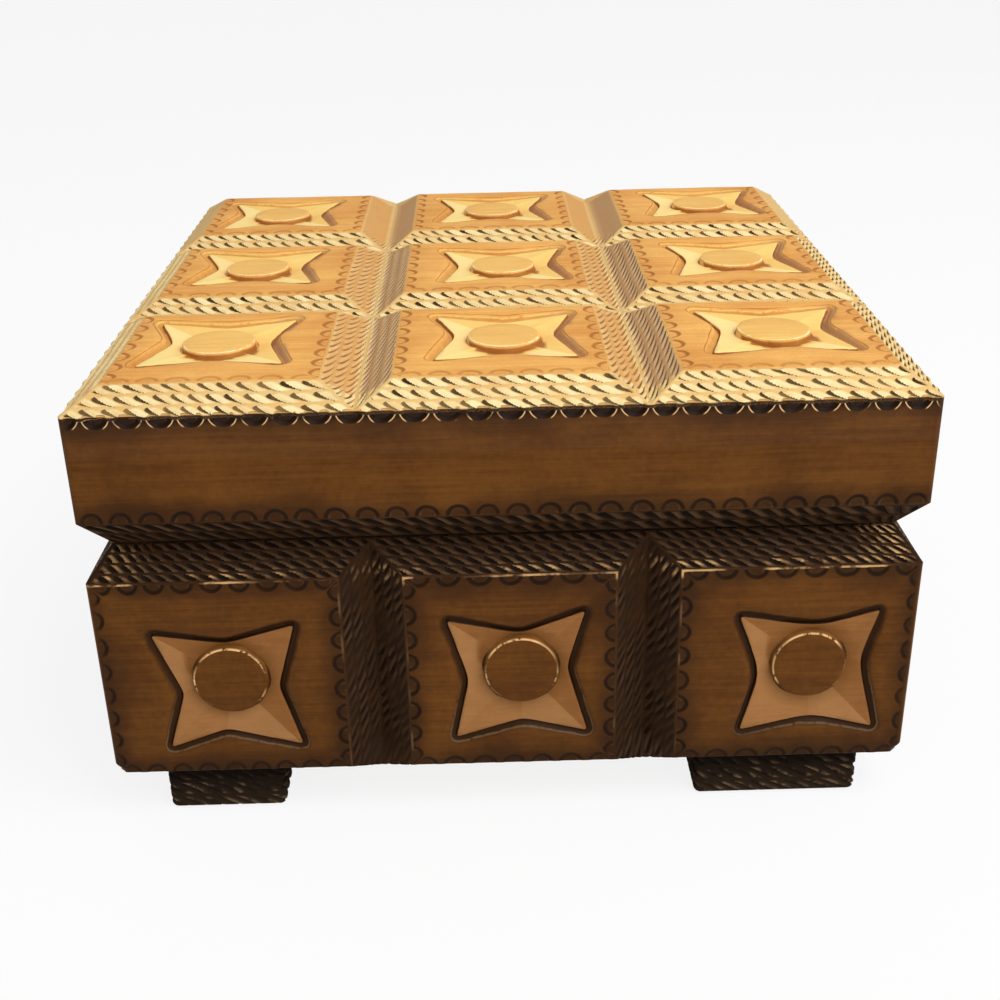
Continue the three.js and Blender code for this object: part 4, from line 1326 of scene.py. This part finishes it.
        # A light line along the bands' edges where the wood wears, wear and painted highlight at once.
        arris = window(self.band, -0.45 * MM, 0.15 * MM, 0.2 * MM) * self.wear_and_highlight
        colour = self.cover(self.mix(figure, tone["ground_dark"], tone["ground"]), [
            *self.ground_layers(tone, on_top, below),
            *rope_layers,
            *self.scallop_layers(tone, on_top, below),
            *self.star_layers(tone, on_top, below),
            (arris * ramp(self.mottle, 0.38, 0.55) * below * 0.75, tone["wear_and_highlight"]),
            (self.mask("bare"), self.mix(figure, darker(tone["bare"], 0.72), tone["bare"])),
        ])
        self.bump(self.fine * 0.5 + self.rough * 0.3 - cut, 0.1 * MM)
        return colour, in_band


def side_wood(colours, sizes, axis):
    """Dark, varnished wood of the rails and walls, with its grain along X or Y."""
    finish = CarvedWood(f"stained_side_wood_{axis}", axis, sizes)
    colour, band = finish.stain(tones(colours, "side"), 0.0)
    finish.feed(Base_Color=colour, Roughness=0.42 + band * 0.2, Specular_IOR_Level=0.06)
    return finish.material


def top_wood(colours, sizes):
    """Honey-coloured lid top, with painted light and shade on the slopes of its grooves by the way that
    they face and painted shade on one side of the cut round each star; below its edge the same stain
    as on the rails."""
    finish = CarvedWood("honey_top_wood", "X", sizes)
    edge = top_edge(sizes)
    on_top = ramp(finish.height, edge - 0.2 * MM, edge - 0.08 * MM)
    top, side = tones(colours, "top"), tones(colours, "side")
    tone = side | {name: finish.mix(on_top, side[name], top[name]) for name in TONES}
    colour, band = finish.stain(tone, on_top)
    facing = finish.mask("facing")
    # Painted light on the groove slopes that face the light, and painted shade on those that face away
    # and on the shaded side of the cut round each star.
    colour = finish.cover(colour, [
        (ramp(facing, 0.1, 1.0) * 0.5, srgb(208, 136, 62)),
        (ramp(0 - facing, 0.1, 1.0) * 0.55, srgb(168, 120, 92)),
    ])
    finish.feed(Base_Color=colour, Roughness=0.5 + band * 0.12, Specular_IOR_Level=0.1)
    return finish.material


def foot_wood(colours, sizes):
    """Nearly black stain, darkest at the top in painted shade under the box, with painted highlights
    on the strands of the lower half.
    """
    finish = Finish("dark_foot_wood")
    rough, row = finish.noise(420.0), finish.mask("row")
    q, room, cut = rope(finish.mask("strand"), row)
    foot, dark = tuple(colours.foot), tuple(colours.side_cut)
    # Painted highlights on the strands, mottled, towards the bottom; the foot is darkest at the top, a
    # painted shade under the box.
    ridge = ramp(q, 0.35, 0.8) * ramp(room, 0.05, 0.5) * ramp(row, 0.2, 1.6) * ramp(rough, 0.45, 0.65)
    colour = finish.mix(ridge, finish.mix(ramp(row, 0.0, 3.0) * 0.12, dark, foot), foot)
    finish.feed(Base_Color=colour, Roughness=0.6, Specular_IOR_Level=0.05)
    finish.bump(rough * 0.4 - cut, 0.12 * MM)
    return finish.material


def bare_wood(colours):
    """Planed, unvarnished wood with open grain."""
    finish = Finish("bare_wood")
    fine = finish.noise(grain("X", 30.0, 1200.0), 3.0)
    streak = finish.noise(grain("X", 6.0, 120.0), 5.0)
    bare = tuple(colours.bare)
    colour = finish.mix(ramp(fine * 0.4 + streak * 0.6, 0.3, 0.7), darker(bare, 0.72), bare)
    finish.feed(Base_Color=colour, Roughness=0.72)
    finish.bump(fine, 0.1 * MM, 0.5)
    return finish.material


def brass(colours):
    """Dull brass with fine scratches and darker patches of tarnish."""
    finish = Finish("dull_brass")
    tarnish, scratch = finish.noise(500.0), finish.noise((4000.0, 300.0, 300.0), 2.0)
    metal = tuple(colours.brass)
    colour = finish.mix(ramp(tarnish, 0.35, 0.7), darker(metal, 0.6), metal)
    finish.feed(Base_Color=colour, Metallic=1.0, Roughness=0.28 + tarnish * 0.2)
    finish.bump(scratch, 0.02 * MM, 0.4)
    return finish.material


# Stage


def build_floor(colour):
    """A pale round floor that curves up into a low backdrop all round the box, brighter to the camera
    than its light makes it. Its profile is flat out to one radius and a quarter circle from there."""
    flat, bend, sides = 1.8, 1.1, 96
    turn = np.linspace(0, math.pi / 2, 20)
    radius = np.concatenate([[0.6], flat + bend * np.sin(turn)])
    height = np.concatenate([[0.0], bend - bend * np.cos(turn)])
    angle = np.linspace(0, math.tau, sides, endpoint=False)[:, None]
    rounds = np.dstack([radius * np.cos(angle), radius * np.sin(angle), height + 0 * angle])
    index = np.arange(sides * len(radius)).reshape(sides, len(radius))
    after = np.roll(index, -1, axis=0)
    quads = np.stack([index[:, :-1], index[:, 1:], after[:, 1:], after[:, :-1]], -1)
    faces = [quads.reshape(-1, 4), index[None, :, 0]]
    floor = make_piece("studio_floor", rounds.reshape(-1, 3), faces)
    finish = Finish("studio_white")
    finish.feed(Base_Color=colour, Roughness=0.9)
    seen = finish.node("ShaderNodeLightPath", {}, {}, "Is Camera Ray")
    glow = finish.node("ShaderNodeEmission", {}, {"Color": (1.0, 1.0, 1.0), "Strength": 1.0})
    surface = Value(finish, finish.surface.outputs["BSDF"])
    blended = finish.node("ShaderNodeMixShader", {}, {0: seen * 0.85, 1: surface, 2: glow})
    finish.set_socket(finish.nodes["Material Output"].inputs["Surface"], blended)
    floor.data.materials.append(finish.material)


def build_stage(settings):
    """The floor, two soft lamps, even light and the camera at the photograph's angle."""
    build_floor(tuple(settings.floor))
    scene = bpy.context.scene
    scene.world = bpy.data.worlds.new("even_light")
    scene.world.use_nodes = True
    background = scene.world.node_tree.nodes["Background"]
    background.inputs["Color"].default_value = (1, 1, 1, 1)
    background.inputs["Strength"].default_value = settings.sky
    middle_of_box = Vector((0, 0, 0.04))
    for name, place, size, power in (
        ("key_lamp", (0.45, -0.4, 0.95), 0.8, settings.key),
        ("fill_lamp", (0.45, -0.9, 0.45), 0.9, settings.fill),
    ):
        lamp = bpy.data.lights.new(name, "AREA")
        lamp.shape, lamp.size, lamp.energy = "SQUARE", size, power
        holder = bpy.data.objects.new(name, lamp)
        holder.location = place
        away = Vector(place) - middle_of_box
        holder.rotation_euler = away.to_track_quat("Z", "Y").to_euler()
        scene.collection.objects.link(holder)
    camera = bpy.data.cameras.new("camera")
    camera.sensor_width, camera.lens = 36.0, settings.lens
    camera.clip_start, camera.clip_end = 0.01, 20.0
    holder = bpy.data.objects.new("camera", camera)
    turn = (
        Matrix.Rotation(-settings.yaw, 4, "Z")
        @ Matrix.Rotation(math.pi / 2 - settings.pitch, 4, "X")
        @ Matrix.Rotation(settings.roll, 4, "Z")
    )
    place = (settings.camera_x, settings.camera_y, settings.camera_z)
    holder.matrix_world = Matrix.Translation(place) @ turn
    scene.collection.objects.link(holder)
    scene.camera = holder
    scene.view_settings.view_transform = "Standard"


# Operators and panel


def build_sides(build, sizes, colours):
    """Builds four rails or walls, each with its grain along it."""
    woods = [side_wood(colours, sizes, axis) for axis in "XY"]
    for number, side in enumerate(SIDES):
        build(side, sizes, woods[number % 2])


def paint_node(node, material):
    """Gives a material to a CAD node that stays in the visual model."""
    mesh = frame["nodes"][node].data
    mesh.materials.clear()
    mesh.materials.append(material)


class CARVEDBOX_OT_stage(bpy.types.Operator):
    """Add the floor, lamps and camera"""

    bl_idname = "carvedbox.stage"
    bl_label = "Stage"

    def execute(self, context):
        build_stage(context.scene.carvedbox_stage)
        return {"FINISHED"}


class CARVEDBOX_OT_lid(bpy.types.Operator):
    """Add the three carved strips of the lid's top and its four rails"""

    bl_idname = "carvedbox.lid"
    bl_label = "Lid"

    def execute(self, context):
        sizes, colours = context.scene.carvedbox_sizes, context.scene.carvedbox_colours
        top = top_wood(colours, sizes)
        for row, name in enumerate(("front", "middle", "back")):
            build_top_strip(row, name, sizes, top)
        build_sides(build_lid_rail, sizes, colours)
        return {"FINISHED"}


class CARVEDBOX_OT_body(bpy.types.Operator):
    """Add the body's four carved walls and finish its bottom panel"""

    bl_idname = "carvedbox.body"
    bl_label = "Body"

    def execute(self, context):
        sizes, colours = context.scene.carvedbox_sizes, context.scene.carvedbox_colours
        build_sides(build_body_wall, sizes, colours)
        paint_node("bottom_panel", bare_wood(colours))
        return {"FINISHED"}


class CARVEDBOX_OT_feet(bpy.types.Operator):
    """Add the four gouged feet"""

    bl_idname = "carvedbox.feet"
    bl_label = "Feet"

    def execute(self, context):
        sizes, colours = context.scene.carvedbox_sizes, context.scene.carvedbox_colours
        material = foot_wood(colours, sizes)
        for number, node in enumerate(sorted(n for n in frame["nodes"] if n.startswith("foot"))):
            build_foot(node, number, sizes, material)
        return {"FINISHED"}


class CARVEDBOX_OT_hinges(bpy.types.Operator):
    """Finish the hinges, pins and screws in brass"""

    bl_idname = "carvedbox.hinges"
    bl_label = "Hinges"

    def execute(self, context):
        material = brass(context.scene.carvedbox_colours)
        for node in sorted(n for n in frame["nodes"] if n.startswith("hinge")):
            paint_node(node, material)
        return {"FINISHED"}


OPERATORS = (
    CARVEDBOX_OT_stage,
    CARVEDBOX_OT_lid,
    CARVEDBOX_OT_body,
    CARVEDBOX_OT_feet,
    CARVEDBOX_OT_hinges,
)
GROUPS = (
    ("carvedbox_sizes", CarvingSizes),
    ("carvedbox_colours", WoodColours),
    ("carvedbox_stage", StageSettings),
)


class CARVEDBOX_PT_panel(bpy.types.Panel):
    """The box's parts and settings"""

    bl_label = "Carved Box"
    bl_idname = "CARVEDBOX_PT_panel"
    bl_space_type = "VIEW_3D"
    bl_region_type = "UI"
    bl_category = "Carved Box"

    def draw(self, context):
        for operator in OPERATORS:
            self.layout.operator(operator.bl_idname)
        for name, group in GROUPS:
            box = self.layout.box()
            settings = getattr(context.scene, name)
            for field in group.__annotations__:
                box.prop(settings, field)


def register():
    """Registers the settings and hangs them on the scene, then the operators and the panel."""
    for name, group in GROUPS:
        bpy.utils.register_class(group)
        setattr(bpy.types.Scene, name, PointerProperty(type=group))
    for item in (*OPERATORS, CARVEDBOX_PT_panel):
        bpy.utils.register_class(item)


def unregister():
    """Undoes register, in the opposite order."""
    for item in (CARVEDBOX_PT_panel, *reversed(OPERATORS)):
        bpy.utils.unregister_class(item)
    for name, group in reversed(GROUPS):
        delattr(bpy.types.Scene, name)
        bpy.utils.unregister_class(group)


def main():
    """Builds the box and its stage."""
    register()
    bpy.ops.carvedbox.stage()
    bpy.ops.carvedbox.lid()
    bpy.ops.carvedbox.body()
    bpy.ops.carvedbox.feet()
    bpy.ops.carvedbox.hinges()


if __name__ == "__main__":
    main()
